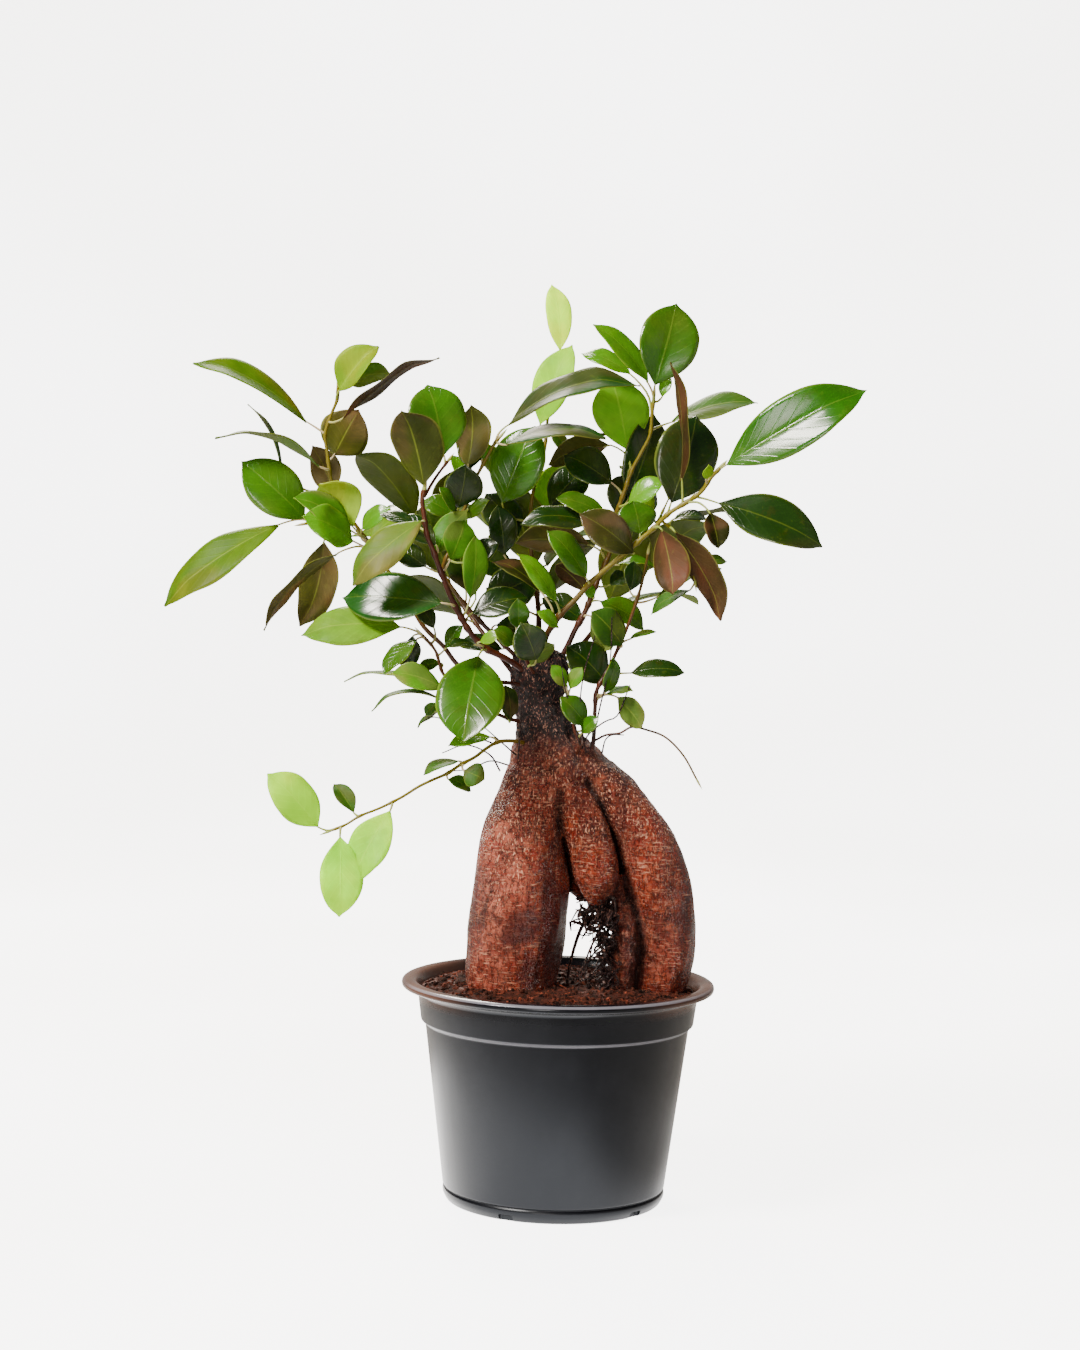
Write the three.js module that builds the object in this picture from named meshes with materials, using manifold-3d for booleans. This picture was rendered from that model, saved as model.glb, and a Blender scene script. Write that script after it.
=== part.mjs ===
// A ficus ginseng bonsai in its black nursery pot. Millimetres, +Z up, and the origin is the centre
// of the pot's flat base. The front of the plant looks along -Y.
import * as THREE from "three";
import { mergeVertices } from "three/addons/utils/BufferGeometryUtils.js";
import Module from "manifold-3d";

const wasm = await Module();
wasm.setup();

// Driving dimensions of the pot.
const rimRadius = 78;
const rimHeight = 107;
const lipThickness = 4.6;
const collarTopRadius = 70;
const collarBottomRadius = 68;
const collarBottom = 88;
const bodyTopRadius = 65.8;
const bodyBottomRadius = 54.9;
const bodyBottom = 4.6;
const footRadius = 53.3;
const wall = 1.5;
const floorThickness = 2.2;
const potSides = 42;
const drainCount = 5;
const drainFirstTurn = -115;
const drainSize = [8, 7, 4];
const drainReach = 3;

// Driving dimensions of the soil.
const fit = 0.35;
const soilEdgeHeight = 104.2;
const soilMound = 3.2;
const soilLumps = 0.7;
const soilSides = 22;
const soilRings = [46, 23, 0];

// Leaves and stalks.
const ribThickness = 1.4;
const stalkRadius = 0.62;
const stemSides = 5;
const lowestStalk = 0.15;
const usualBow = 0.08;
const usualFold = 14;
const socketPoints = 5;
const socketSegments = 7;
const socketFit = 0.5;
const fewestSteps = 9;
const footSamples = 40;

// A blade's outline: pairs of [share of its length, share of its full width].
const longBlade = 38;
const longOutline = [[0.15, 0.5], [0.38, 0.94], [0.64, 0.98], [0.87, 0.56]];
const middleOutline = [[0.2, 0.64], [0.5, 1], [0.8, 0.68]];
const shortBlade = 15;
const shortOutline = [[0.3, 0.88], [0.7, 0.88]];

function outlineFor(length) {
  if (length > longBlade) {
    return longOutline;
  }
  return length > shortBlade ? middleOutline : shortOutline;
}

// The front view that the plant's places are given in: where the eye stands, and how far the
// whole plant leans to the right as it is seen from there.
const eye = new THREE.Vector3(-12.7, -1320, 330);
const lean = THREE.MathUtils.degToRad(1.38);
const leanFoot = 2.6;

// A place as the eye sees it: right and up on the upright plane through the pot's axis, and its
// depth behind that plane (before it, where depth is below zero) along the same line of sight.
function seen([right, up, depth]) {
  const x = (right + leanFoot) * Math.cos(lean) - up * Math.sin(lean);
  const z = (right + leanFoot) * Math.sin(lean) + up * Math.cos(lean);
  const reach = 1 + depth / -eye.y;
  return new THREE.Vector3(eye.x + (x - eye.x) * reach, depth, eye.z + (z - eye.z) * reach);
}

// Solids for the joins and cuts.
function solid(geometry) {
  geometry.deleteAttribute("normal");
  geometry.deleteAttribute("uv");
  const merged = mergeVertices(geometry, 1e-4);
  return new wasm.Manifold(
    new wasm.Mesh({
      numProp: 3,
      vertProperties: new Float32Array(merged.attributes.position.array),
      triVerts: new Uint32Array(merged.index.array),
    })
  );
}

function join(solids) {
  return solids.reduce((whole, piece) => whole.add(piece));
}

function mesh(name, body, material) {
  const result = body.getMesh();
  const geometry = new THREE.BufferGeometry();
  geometry.setAttribute("position", new THREE.BufferAttribute(new Float32Array(result.vertProperties), 3));
  geometry.setIndex(new THREE.BufferAttribute(new Uint32Array(result.triVerts), 1));
  geometry.computeVertexNormals();
  const piece = new THREE.Mesh(geometry, material);
  piece.name = name;
  return piece;
}

function finish(color, roughness) {
  return new THREE.MeshStandardMaterial({ color, roughness, metalness: 0 });
}

// A round, tapered length of wood along a smooth curve through the points.
function limb(points, startRadius, endRadius, sides, segments, grow = 0) {
  const curve = new THREE.CatmullRomCurve3(points);
  const frames = curve.computeFrenetFrames(segments);
  const geometry = new THREE.CylinderGeometry(1, 1, 1, sides, segments);
  const place = geometry.attributes.position;
  for (let i = 0; i < place.count; i += 1) {
    const share = 0.5 - place.getY(i);
    const ring = Math.round(share * segments);
    const radius = THREE.MathUtils.lerp(startRadius, endRadius, share) + grow;
    const point = curve.getPointAt(share);
    point.addScaledVector(frames.normals[ring], place.getX(i) * radius);
    point.addScaledVector(frames.binormals[ring], place.getZ(i) * radius);
    place.setXYZ(i, point.x, point.y, point.z);
  }
  return outward(solid(geometry), geometry);
}

// Turns a body inside out if its rings ran the other way.
function outward(body, geometry) {
  if (body.volume() > 0) {
    return body;
  }
  const index = geometry.index.array;
  for (let i = 0; i < index.length; i += 3) {
    [index[i], index[i + 1]] = [index[i + 1], index[i]];
  }
  return solid(geometry);
}

// A swollen root: level rings, each given as it is seen [right, up, depth, half width, half depth].
function swollen(rings, sides, segments, grow = 0) {
  const centres = new THREE.CatmullRomCurve3(rings.map((ring) => seen(ring)));
  const sizes = new THREE.CatmullRomCurve3(rings.map((ring) => new THREE.Vector3(ring[3], ring[4], 0)));
  const geometry = new THREE.CylinderGeometry(1, 1, 1, sides, segments);
  const place = geometry.attributes.position;
  for (let i = 0; i < place.count; i += 1) {
    const share = 0.5 - place.getY(i);
    const centre = centres.getPoint(share);
    const size = sizes.getPoint(share);
    const turn = Math.atan2(place.getZ(i), place.getX(i));
    const swell = 1 + 0.03 * Math.sin(3 * turn + centre.z / 17) + 0.02 * Math.sin(5 * turn - centre.z / 9);
    const x = centre.x + place.getX(i) * (size.x * swell + grow);
    const y = centre.y - place.getZ(i) * (size.y * swell + grow);
    place.setXYZ(i, x, y, centre.z);
  }
  return outward(solid(geometry), geometry);
}

// The pot: one turned wall with its rolled lip, cut by the drain notches in its bottom corner.
function makePot() {
  const lipTop = rimHeight + lipThickness / 2;
  const outline = [
    [0, 0],
    [footRadius, 0],
    [bodyBottomRadius, bodyBottom],
    [bodyTopRadius, collarBottom - 1],
    [collarBottomRadius, collarBottom + 0.6],
    [collarTopRadius, rimHeight - 3.4],
    [rimRadius - 2.2, rimHeight - lipThickness / 2 + 0.4],
    [rimRadius, rimHeight],
    [rimRadius - 1.4, lipTop - 0.5],
    [rimRadius - 4, lipTop],
    [collarTopRadius + 0.8, lipTop - 0.9],
    [collarTopRadius - wall, rimHeight - 3],
    [collarBottomRadius - wall, collarBottom - 0.4],
    [bodyTopRadius - wall, collarBottom - 2],
    [bodyBottomRadius - wall, bodyBottom + 0.8],
    [footRadius - 0.8, floorThickness],
    [0, floorThickness],
  ];
  const profile = outline.map(([radius, height]) => new THREE.Vector2(radius, height));
  let body = standUp(solid(new THREE.LatheGeometry(profile, potSides)));
  for (let i = 0; i < drainCount; i += 1) {
    const turn = THREE.MathUtils.degToRad(drainFirstTurn + (i * 360) / drainCount);
    const notch = new THREE.BoxGeometry(...drainSize);
    notch.translate(footRadius + drainReach, 0, 0);
    notch.rotateZ(turn);
    body = body.subtract(solid(notch));
  }
  return body;
}

// The pot's lathe turns about Y, so its solids are stood up on Z.
function standUp(body) {
  return body.rotate([90, 0, 0]);
}

function soilTop(x, y) {
  const share = Math.min(Math.hypot(x, y) / collarTopRadius, 1);
  const lumps = Math.sin(x * 0.31 + 1) * Math.cos(y * 0.27) + Math.sin(x * 0.13 - y * 0.19);
  return soilEdgeHeight + soilMound * (1 - share * share) + soilLumps * lumps * (1 - share);
}

// The soil: a plug that follows the pot's inside with a mounded, lumpy top.
function makeSoil(roots) {
  const inside = [
    [0, floorThickness + fit],
    [footRadius - 1.2, floorThickness + fit],
    [bodyBottomRadius - wall - fit, bodyBottom + 1.2],
    [bodyTopRadius - wall - fit - 0.1, collarBottom - 1.6],
    [collarBottomRadius - wall - fit - 0.1, collarBottom],
    [collarTopRadius - wall - fit - 0.3, soilEdgeHeight],
    ...soilRings.map((radius) => [radius, soilEdgeHeight]),
  ];
  const profile = inside.map(([radius, height]) => new THREE.Vector2(radius, height));
  const geometry = new THREE.LatheGeometry(profile, soilSides);
  const place = geometry.attributes.position;
  for (let i = 0; i < place.count; i += 1) {
    if (place.getY(i) > soilEdgeHeight - 0.01) {
      place.setY(i, soilTop(place.getX(i), -place.getZ(i)));
    }
  }
  return standUp(solid(geometry)).subtract(roots);
}

// The trunk's swollen roots and neck, from the top down.
const neck = [
  [-9.5, 273, 1, 8, 8],
  [-9.5, 270, 1, 13, 12],
  [-9.5, 262, 1, 14.5, 13],
  [-9.5, 248, 1, 12.2, 12.5],
  [-7, 238, 1, 13.2, 13],
  [-5.5, 229, 1, 15.8, 15],
  [-4, 221, 1, 20, 17],
  [-2, 213, 0, 22, 18],
  [-3, 205, 0, 19, 17],
  [-5, 197, 0, 12, 13],
];
const leftLeg = [
  [-7, 224, 0, 12, 13],
  [-9, 214, -1, 16.8, 17],
  [-11.5, 205, -2, 17.5, 18.5],
  [-14.5, 197, -3, 17.6, 19.5],
  [-17.5, 189, -4, 18.6, 20.5],
  [-18.8, 180, -4, 20.5, 21.5],
  [-19, 168, -4, 22.5, 22.5],
  [-19, 157, -4, 24, 23],
  [-19.5, 146, -4, 24.5, 23.5],
  [-20.3, 135, -4, 24.3, 23.5],
  [-21.2, 124, -4, 24, 23],
  [-22.8, 113, -4, 23.2, 22],
  [-23.5, 103, -4, 22, 21],
  [-24, 92, -4, 17, 17],
  [-24, 80, -4, 10, 10],
  [-24, 72, -4, 4, 4],
];
const rightLeg = [
  [4, 233, 2, 6, 8],
  [8, 227, 2, 10, 12],
  [13, 219, 2, 13, 14],
  [21.5, 211, 2, 15.5, 15.5],
  [28.5, 203, 2, 15.3, 16.5],
  [35.5, 194, 2, 15, 17],
  [41.5, 183.5, 2, 15, 17.5],
  [46, 171, 2, 15.7, 17.5],
  [49, 160, 2, 16.2, 17.5],
  [51.5, 148, 2, 16.5, 17.5],
  [53.4, 136, 2, 15.8, 17],
  [53.7, 123.5, 2, 14.2, 16],
  [52, 112, 2, 14, 15.5],
  [50.5, 103, 2, 13.6, 15],
  [50, 92, 2, 11, 12],
  [49.5, 80, 2, 7, 8],
  [49.5, 74, 2, 3.5, 4],
];
const middleRoot = [
  [5, 208, -7, 8, 9],
  [9, 199, -9, 10, 10.5],
  [12.7, 188.5, -11, 11.2, 11],
  [15.5, 178.5, -11, 11.8, 11],
  [17.8, 168.5, -11, 11.9, 11],
  [19.3, 159, -11, 11, 10.5],
  [19.6, 151.5, -11, 7.8, 8],
  [18.8, 146, -11, 3.2, 4],
];
const rootWeb = [
  [6, 212, 4, 9, 9],
  [10, 201, 5, 13, 10],
  [13.5, 189, 6, 15.5, 10],
  [16, 176, 7, 17, 10],
  [17.5, 163, 7, 17, 9.5],
  [18, 153.5, 6, 14.5, 8],
  [18, 148, 5, 8, 5],
];
const sideRoot = [
  [29, 162, -5, 3, 5],
  [30, 151, -6, 4, 6],
  [33, 140, -6, 6, 8],
  [34, 128.5, -6, 7.2, 9],
  [33.5, 118, -6, 6.8, 9],
  [32.5, 108, -6, 6, 9],
  [32.5, 97, -6, 4.5, 7],
  [32.5, 88, -6, 2.5, 3],
];
const swollenRoots = [
  { rings: neck, sides: 14, segments: 9 },
  { rings: leftLeg, sides: 18, segments: 12 },
  { rings: rightLeg, sides: 16, segments: 13 },
  { rings: middleRoot, sides: 12, segments: 7 },
  { rings: rootWeb, sides: 10, segments: 5 },
  { rings: sideRoot, sides: 8, segments: 6 },
];

// The fine roots in the gap between the legs.
const fineRoots = [
  {
    points: [[19, 149, -11], [17, 141, -10], [12.5, 136, -9], [8.5, 126, -8], [5, 111, -7], [4, 97, -7]],
    radius: 1,
  },
  { points: [[20, 149, -12], [21, 142, -12], [24, 136, -10], [30, 132, -8]], radius: 1.6 },
  { points: [[18, 149, -10], [15, 143, -8], [14, 138, -6], [19, 133, -5], [30, 130, -5]], radius: 1.2 },
];

const fineRootTaper = 0.7;
const fineRootSides = 4;
const fineRootSegments = 6;

function makeRoots(grow) {
  const thick = swollenRoots.map(({ rings, sides, segments }) => swollen(rings, sides, segments, grow));
  const fine = fineRoots.map(({ points, radius }) =>
    limb(points.map(seen), radius, radius * fineRootTaper, fineRootSides, fineRootSegments, grow)
  );
  return join([...thick, ...fine]);
}

// A stem or side twig as a list of seen places, with its radius at the start and at the tip.
function twig(points, startRadius, endRadius) {
  return { points: points.map(seen), startRadius, endRadius };
}

// A leaf from the end of its stalk to its tip. Roll turns its upper face from the front (0), up to
// edge-on (90) and on to showing its underside (180). Bow lifts its middle, as a share of its
// length, and fold is the angle that each half rises from the midrib.
function leaf(base, tip, width, roll, bow = usualBow, fold = usualFold) {
  const start = seen(base);
  const end = seen(tip);
  const along = end.clone().sub(start).normalize();
  const toEye = new THREE.Vector3(0, -1, 0).addScaledVector(along, along.y).normalize();
  const side = new THREE.Vector3().crossVectors(along, toEye);
  if (side.x * 0.35 + side.z < 0) {
    side.negate();
  }
  const turn = THREE.MathUtils.degToRad(roll);
  const face = toEye.multiplyScalar(Math.cos(turn)).addScaledVector(side, Math.sin(turn));
  return { start, end, width, face, bow, fold };
}

const leafyStems = {
  stem_left_upright: {
    twigs: [
      twig(
        [
          [-13, 246, 0], [-22, 249, -1], [-31, 254, -2], [-41, 259.5, -2], [-51, 267, -2], [-57, 275, -1],
          [-67, 285, 0], [-75, 298, 2], [-87, 316, 4], [-99, 333, 6], [-109, 347, 6], [-113, 357, 6],
          [-115.5, 373, 5], [-116.5, 381, 5], [-113.5, 391, 5], [-110.5, 398.5, 5], [-110, 406, 5],
        ],
        1.3,
        0.75
      ),
      twig([[-106, 343, 6], [-117, 338.5, 1], [-127, 336.5, -4]], 0.8, 0.65),
    ],
    leaves: [
      leaf([-125.5, 387.5, 4], [-181, 419.5, -8], 22, 62),
      leaf([-119, 365, 1], [-170.5, 382.5, -18], 22, 98, 0.1),
      leaf([-138, 362, 15], [-154, 397, 22], 12, 84),
      leaf([-126.5, 339, -3], [-158, 368, -10], 27, 18),
      leaf([-112, 371, 12], [-100, 393, 24], 27, 170, 0.1),
      leaf([-112, 352, 15], [-122, 375, 27], 17, 165),
      leaf([-109.5, 403, 2], [-91, 426, -4], 24, 28, 0.05, 38),
      leaf([-106, 408, 11], [-84, 412, 25], 15, 140),
      leaf([-108, 389, 0], [-62, 423.5, -6], 20, 102, 0.03),
      leaf([-102.5, 335, -5], [-119, 357, -11], 26, 160, 0.1),
      leaf([-104, 333.5, -9], [-131.5, 350.5, -24], 22, 52),
      leaf([-102.5, 328, -12], [-126, 341, -32], 22, 40),
      leaf([-140, 336, -6], [-198, 297, -14], 26, 42, 0.06),
      leaf([-117, 328, 5], [-127.5, 285.5, 13], 24, 150, 0.1),
      leaf([-110, 322, -4], [-148.5, 284.5, -14], 19, 105),
      leaf([-98, 334, -4], [-85, 345, -12], 12, 38),
      leaf([-94, 329, 11], [-78, 341, 17], 14, 40),
    ],
  },
  stem_left_fan: {
    twigs: [
      twig(
        [
          [-14, 255, -6], [-24, 257, -10], [-40, 258, -14], [-56, 260, -18],
          [-61.5, 273.5, -20], [-68, 281, -21],
        ],
        1.1,
        0.65,
      ),
    ],
    leaves: [
      leaf([-78, 285, -16], [-128.5, 282.5, -20], 25, 42),
      leaf([-70.5, 279, -24], [-87.5, 262, -34], 14, 50),
      leaf([-72.5, 280.5, -15], [-77, 264, -10], 12, 30),
      leaf([-62, 284.5, -14], [-70, 296, -12], 10, 35),
      leaf([-56, 274.5, -20], [-48, 286, -22], 9, 30),
      leaf([-59, 267, -14], [-70, 264, -10], 8, 40),
    ],
  },
  stem_left_low: {
    twigs: [
      twig(
        [[-15, 237, -4], [-24, 239, -10], [-34, 243, -17], [-46, 248, -25], [-56, 252, -31], [-62, 256, -35]],
        1,
        0.65,
      ),
    ],
    leaves: [
      leaf([-58, 254.5, -38], [-83, 262.5, -46], 17, 48),
      leaf([-70, 259, -20], [-107, 259.5, -12], 12, 82),
      leaf([-60, 249.5, -36], [-93.5, 245.5, -44], 13, 84, 0.14),
      leaf([-60.5, 247, -30], [-66.5, 241, -28], 6, 20),
      leaf([-58, 243.5, -26], [-70.5, 235, -22], 10, 76),
      leaf([-24, 238, -16], [-26, 256, -21], 11, 40),
    ],
  },
  stem_left_hanging: {
    twigs: [
      twig(
        [
          [-13, 226, -6], [-22, 228, -12], [-30, 227.5, -17], [-35.5, 224.5, -20], [-41.5, 220, -22],
          [-49, 216, -24],
          [-55, 212, -26], [-64, 208, -28], [-70, 205, -29], [-78, 200, -31], [-89, 194.5, -33],
          [-99, 190.5, -35], [-106.5, 186, -36], [-114, 183, -37],
        ],
        1,
        0.6
      ),
    ],
    leaves: [
      leaf([-34, 230, -20], [-55, 226, -26], 10, 50),
      leaf([-50, 218, -25], [-67.5, 212, -32], 9, 58),
      leaf([-47, 213, -27], [-37, 209, -31], 13, 20),
      leaf([-55, 209, -24], [-43, 203.5, -21], 9, 48),
      leaf([-120, 185, -38], [-144.5, 212, -44], 22, 26),
      leaf([-109, 180, -40], [-109, 140, -46], 22, 15, 0.06),
      leaf([-84, 193, -34], [-103, 157.5, -44], 22, 24, 0.06),
      leaf([-102, 192, -32], [-112, 207, -26], 12, 30, 0.05, 38),
    ],
  },
  stem_dark_left: {
    twigs: [
      twig(
        [
          [-13, 258, -4], [-19, 264.5, -9], [-26.5, 269.5, -13], [-36.5, 274.5, -17], [-44, 282.5, -20],
          [-50, 292.5, -23], [-54, 301, -25], [-58, 311, -27], [-62.5, 323.5, -29], [-65.5, 331, -30],
          [-67, 341, -31], [-68, 348.5, -32], [-67, 353.5, -32],
        ],
        1.7,
        1.1
      ),
      twig([[-67, 350, -31], [-61, 360, -27], [-55, 368, -23]], 0.85, 0.65),
    ],
    leaves: [
      leaf([-67, 356, -33], [-77.5, 394, -46], 30, 158, 0.08, 24),
      leaf([-57, 371, -21], [-65, 406.5, -15], 31, 20),
      leaf([-68, 338, -33], [-103.5, 307, -38], 21, 28),
      leaf([-61, 326, -23], [-80, 340.5, -16], 14, 30),
      leaf([-58, 297, -31], [-108.5, 300.5, -15], 27, 27, 0.04, 9),
      leaf([-54, 318.5, -22], [-46.5, 338.5, -16], 18, 24),
      leaf([-44, 299.5, -19], [-41, 331, -22], 14, 28),
      leaf([-43, 292, -14], [-15, 300, -12], 18, 34),
      leaf([-39, 277.5, -23], [-28, 281.5, -28], 7, 30),
      leaf([-40, 270, -27], [-47.5, 227.5, -56], 34, -5, 0.06, 10),
      leaf([-42, 276, -30], [-54, 276, -42], 8, 55),
      leaf([-66, 315, -24], [-82, 325, -20], 14, 30),
      leaf([-72, 336, -26], [-89, 342, -21], 10, 50),
    ],
  },
  stem_centre_left: {
    twigs: [
      twig(
        [
          [-13, 260, 5], [-20, 269, 7], [-29, 278, 8], [-40, 289, 9], [-51, 302, 9], [-57.5, 312.5, 9],
          [-56.5, 318, 8], [-51.5, 328, 8], [-49, 338.5, 7], [-46, 346, 6], [-44, 353.5, 6], [-39, 363.5, 6],
          [-35, 371, 5], [-31.5, 377, 5], [-29, 380, 5],
        ],
        1.25,
        0.75
      ),
    ],
    leaves: [
      leaf([-25, 386, 5], [39.5, 409.5, -3], 25, 58, 0.12),
      leaf([-26, 376, 2], [23.5, 381.5, -9], 20, 66, 0.1),
      leaf([-45, 365.5, 2], [-43, 396, 8], 22, 150),
      leaf([-50, 344.5, 1], [-46, 366, -4], 21, 22),
      leaf([-53, 341, 12], [-67, 349, 14], 14, 40),
      leaf([-52, 342.5, -5], [-59, 355, -10], 8, 50),
      leaf([-47, 358, 12], [-53, 371, 14], 8, 30),
      leaf([-38, 369, 9], [-36, 378, 12], 6, 30),
      leaf([-47, 339, 3], [-34.5, 348.5, -4], 10, 45),
      leaf([-44, 318, 4], [-30, 327, -2], 15, 35),
      leaf([-44, 364, 11], [-45.5, 380, 17], 14, 24),
      leaf([-45.5, 343, -4], [-62, 322, -11], 17, 30),
      leaf([-46, 303, 15], [-51, 326, 21], 19, 24),
      leaf([-36, 297, 14], [-11, 310, 17], 25, 24),
      leaf([-31, 286, 13], [-12, 281, 16], 17, 26),
      leaf([-28, 274, 14], [-50, 277, 17], 13, 48),
    ],
  },
  stem_top: {
    twigs: [
      twig(
        [
          [-8, 264, 10], [-9, 275, 14], [-9.5, 290, 19], [-12, 310, 23], [-14, 335, 26], [-12, 355, 28],
          [-7, 372, 31],
          [-5, 390, 36], [-2, 405, 39], [1, 417, 40],
        ],
        1.25,
        0.7
      ),
    ],
    leaves: [
      leaf([1, 423.5, 39], [-2.5, 456.5, 38], 15, 24),
      leaf([-9, 386, 30], [6.5, 426.5, 32], 21, 20),
      leaf([-28, 347, 21], [-11.5, 385.5, 17], 29, 14),
      leaf([-4, 385, 24], [5, 371, 24], 9, 40),
      leaf([-20, 330, 26], [-36, 352, 30], 22, 25),
      leaf([-4, 345, 30], [14, 364, 36], 22, 30),
      leaf([-22, 310, 26], [-44, 322, 30], 20, 40),
      leaf([-27, 321, 15], [-30, 346, 10], 16, 20),
      leaf([-17, 294, 25], [-36, 305, 31], 18, 40),
    ],
  },
  stem_right_upright: {
    twigs: [
      twig(
        [
          [-3, 263, 3], [1, 269, 3.5], [4.5, 275, 4], [8.5, 283.5, 4], [13.5, 292.5, 4], [17, 301, 4],
          [21, 311, 4],
          [24, 317.5, 4], [27, 326, 4], [28, 336, 4], [30, 343.5, 3], [33.5, 353.5, 2], [37, 363.5, 2],
          [41, 371, 1], [46, 381, 0], [47, 391, 0], [48, 400, 0],
        ],
        1.5,
        0.75
      ),
    ],
    leaves: [
      leaf([36, 411.5, 7], [12, 423, 13], 14, 46),
      leaf([45, 407, -3], [18.5, 437, -9], 17, 48),
      leaf([48.5, 406, 1], [59.5, 447, 5], 32, 8, 0.06, 20),
      leaf([34.5, 374, 12], [27, 409.5, 16], 30, 12),
      leaf([57, 387.5, 5], [99.5, 398, -3], 20, 54),
      leaf([35, 349, 12], [48.5, 391.5, 20], 24, 20),
      leaf([24, 340.5, 0], [-0.5, 350, -6], 14, 42),
      leaf([35, 347, -2], [53, 358.5, -8], 14, 38),
      leaf([27, 357, 9], [3, 371.5, 12], 21, 24),
      leaf([26, 376, 22], [-5.5, 367.5, 17], 18, 138),
      leaf([21, 298, 3], [43.5, 285, 1], 18, 46),
      leaf([18, 300, 0], [13, 306, -4], 7, 30),
      leaf([26, 306, 8], [36, 311, 12], 11, 40),
      leaf([30, 316, 3], [48.5, 316, 4], 12, 70, 0.12),
      leaf([17, 290, 0], [27.5, 273.5, -6], 17, 155),
      leaf([14, 303, 0], [-1, 317, -6], 13, 150),
      leaf([18, 336, 0], [-18, 338.5, -10], 17, 48, 0.12),
      leaf([16, 326, 6], [-22, 328, 4], 20, 140),
      leaf([52, 400, 3], [56, 410, 6], 7, 30),
      leaf([12, 288, 8], [-8, 300, 12], 16, 40),
      leaf([29, 341, 11], [33, 361, 18], 17, 20),
    ],
  },
  stem_right_long: {
    twigs: [
      twig(
        [
          [-5, 262, -6], [-5.5, 270, -9], [-6.5, 278.5, -10], [1, 291, -12], [8.5, 298.5, -13],
          [16, 307, -14],
          [23.5, 313.5, -16], [41, 328.5, -20], [48.5, 335, -22], [55, 341.5, -24], [66, 348.5, -26],
          [72, 353, -28], [76, 359, -29], [81, 364.5, -30],
        ],
        1.6,
        0.9
      ),
      twig([[52, 338, -23], [61, 330, -19], [67, 318, -17], [68.5, 308, -17]], 0.75, 0.6),
    ],
    leaves: [
      leaf([84, 366, -31], [153, 405.5, -46], 30, 19, 0.03, 18),
      leaf([80, 347, -28], [132.5, 326, -36], 26, 26, 0.08),
      leaf([74, 359, -33], [75.5, 366, -38], 6, 30),
      leaf([76, 342, -34], [80.5, 324.5, -40], 16, 24, 0.05, 34),
      leaf([58, 339, -18], [75, 339.5, -14], 12, 62),
      leaf([52, 333.5, -27], [58, 301, -37], 20, 158),
      leaf([58.5, 332.5, -25], [83, 289, -26], 20, 138),
      leaf([69, 315.5, -13], [84.5, 318.5, -9], 10, 56),
      leaf([66, 303.5, -15], [46, 292.5, -19], 10, 56),
      leaf([62, 358, -28], [58, 417.5, -34], 20, 101, 0.04),
      leaf([56.5, 347, -18], [70, 391, -13], 33, 14, 0.06),
      leaf([41, 331.5, -15], [37.5, 348, -12], 21, 20),
      leaf([38, 322, -23], [11, 342, -30], 21, 26),
      leaf([14, 309.5, -19], [-4.5, 333.5, -26], 16, 36),
      leaf([-1, 297.5, -16], [-19.5, 322, -24], 13, 46),
      leaf([0, 285, -15], [-10, 293, -20], 8, 30),
      leaf([-9, 303, -9], [-32, 319, -8], 16, 60),
    ],
  },
  stem_right_low: {
    twigs: [
      twig(
        [
          [13, 217, -2], [17, 224, -6], [18, 232, -8], [18.5, 244, -9], [19.5, 253.5, -9],
          [25, 263.5, -8], [28.5, 271, -8],
          [32, 278.5, -10], [36, 288.5, -12], [41, 303.5, -11], [43.5, 313.5, -10], [45, 322, -9],
        ],
        1.15,
        0.65
      ),
      twig(
        [
          [18, 228, -7], [24, 231, -8], [31, 232, -9], [37, 235, -10], [44.5, 233.5, -11], [53.5, 230, -12],
          [62.5, 221, -13], [69.5, 208.5, -14],
        ],
        0.6,
        0.5
      ),
    ],
    leaves: [
      leaf([36, 262, -8], [63, 263, -12], 14, 52),
      leaf([29.5, 250, -12], [42.5, 234.5, -18], 14, 150),
      leaf([24, 251.5, -12], [37.5, 253.5, -17], 9, 70),
      leaf([23.5, 252, -14], [28.5, 269.5, -17], 10, 36),
      leaf([24, 257, -4], [5, 276, -5], 23, 30),
      leaf([36, 303, -9], [38, 318, -6], 11, 30),
      leaf([32, 276, -12], [17, 293, -18], 20, 30),
      leaf([50, 300, -5], [81, 316, -3], 12, 66),
      leaf([36, 279, -8], [49, 283, -5], 6, 60),
    ],
  },
  stem_right_shoulder: {
    twigs: [
      twig([[8, 219, -9], [11, 226, -14], [8, 234.5, -16], [7, 243.5, -17], [4.5, 251, -18]], 0.9, 0.6),
    ],
    leaves: [
      leaf([14, 236, -17], [1.5, 250, -22], 14, 30),
      leaf([4, 255, -19], [-3, 266, -22], 8, 20),
      leaf([6, 254, -18], [12, 265, -19], 8, 24),
      leaf([12, 232, -18], [20, 240, -23], 9, 40),
    ],
  },
  stem_centre_front: {
    twigs: [twig([[-10, 259, -9], [-14, 265, -15], [-18, 273, -19], [-20, 281, -21]], 1, 0.65)],
    leaves: [
      leaf([-20, 284, -22], [-20, 299, -26], 11, 12),
      leaf([-11, 268.5, -21], [-18, 286.5, -31], 19, 18),
      leaf([-22, 276, -24], [-32, 284, -30], 10, 36),
      leaf([-14, 266, -20], [-2, 277, -24], 11, 150),
    ],
  },
};

// A number from 0 to 1 that looks random and is always the same for the same seed.
function chance(seed) {
  const noise = Math.sin(seed * 12.9898) * 43758.5453;
  return noise - Math.floor(noise);
}

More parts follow.
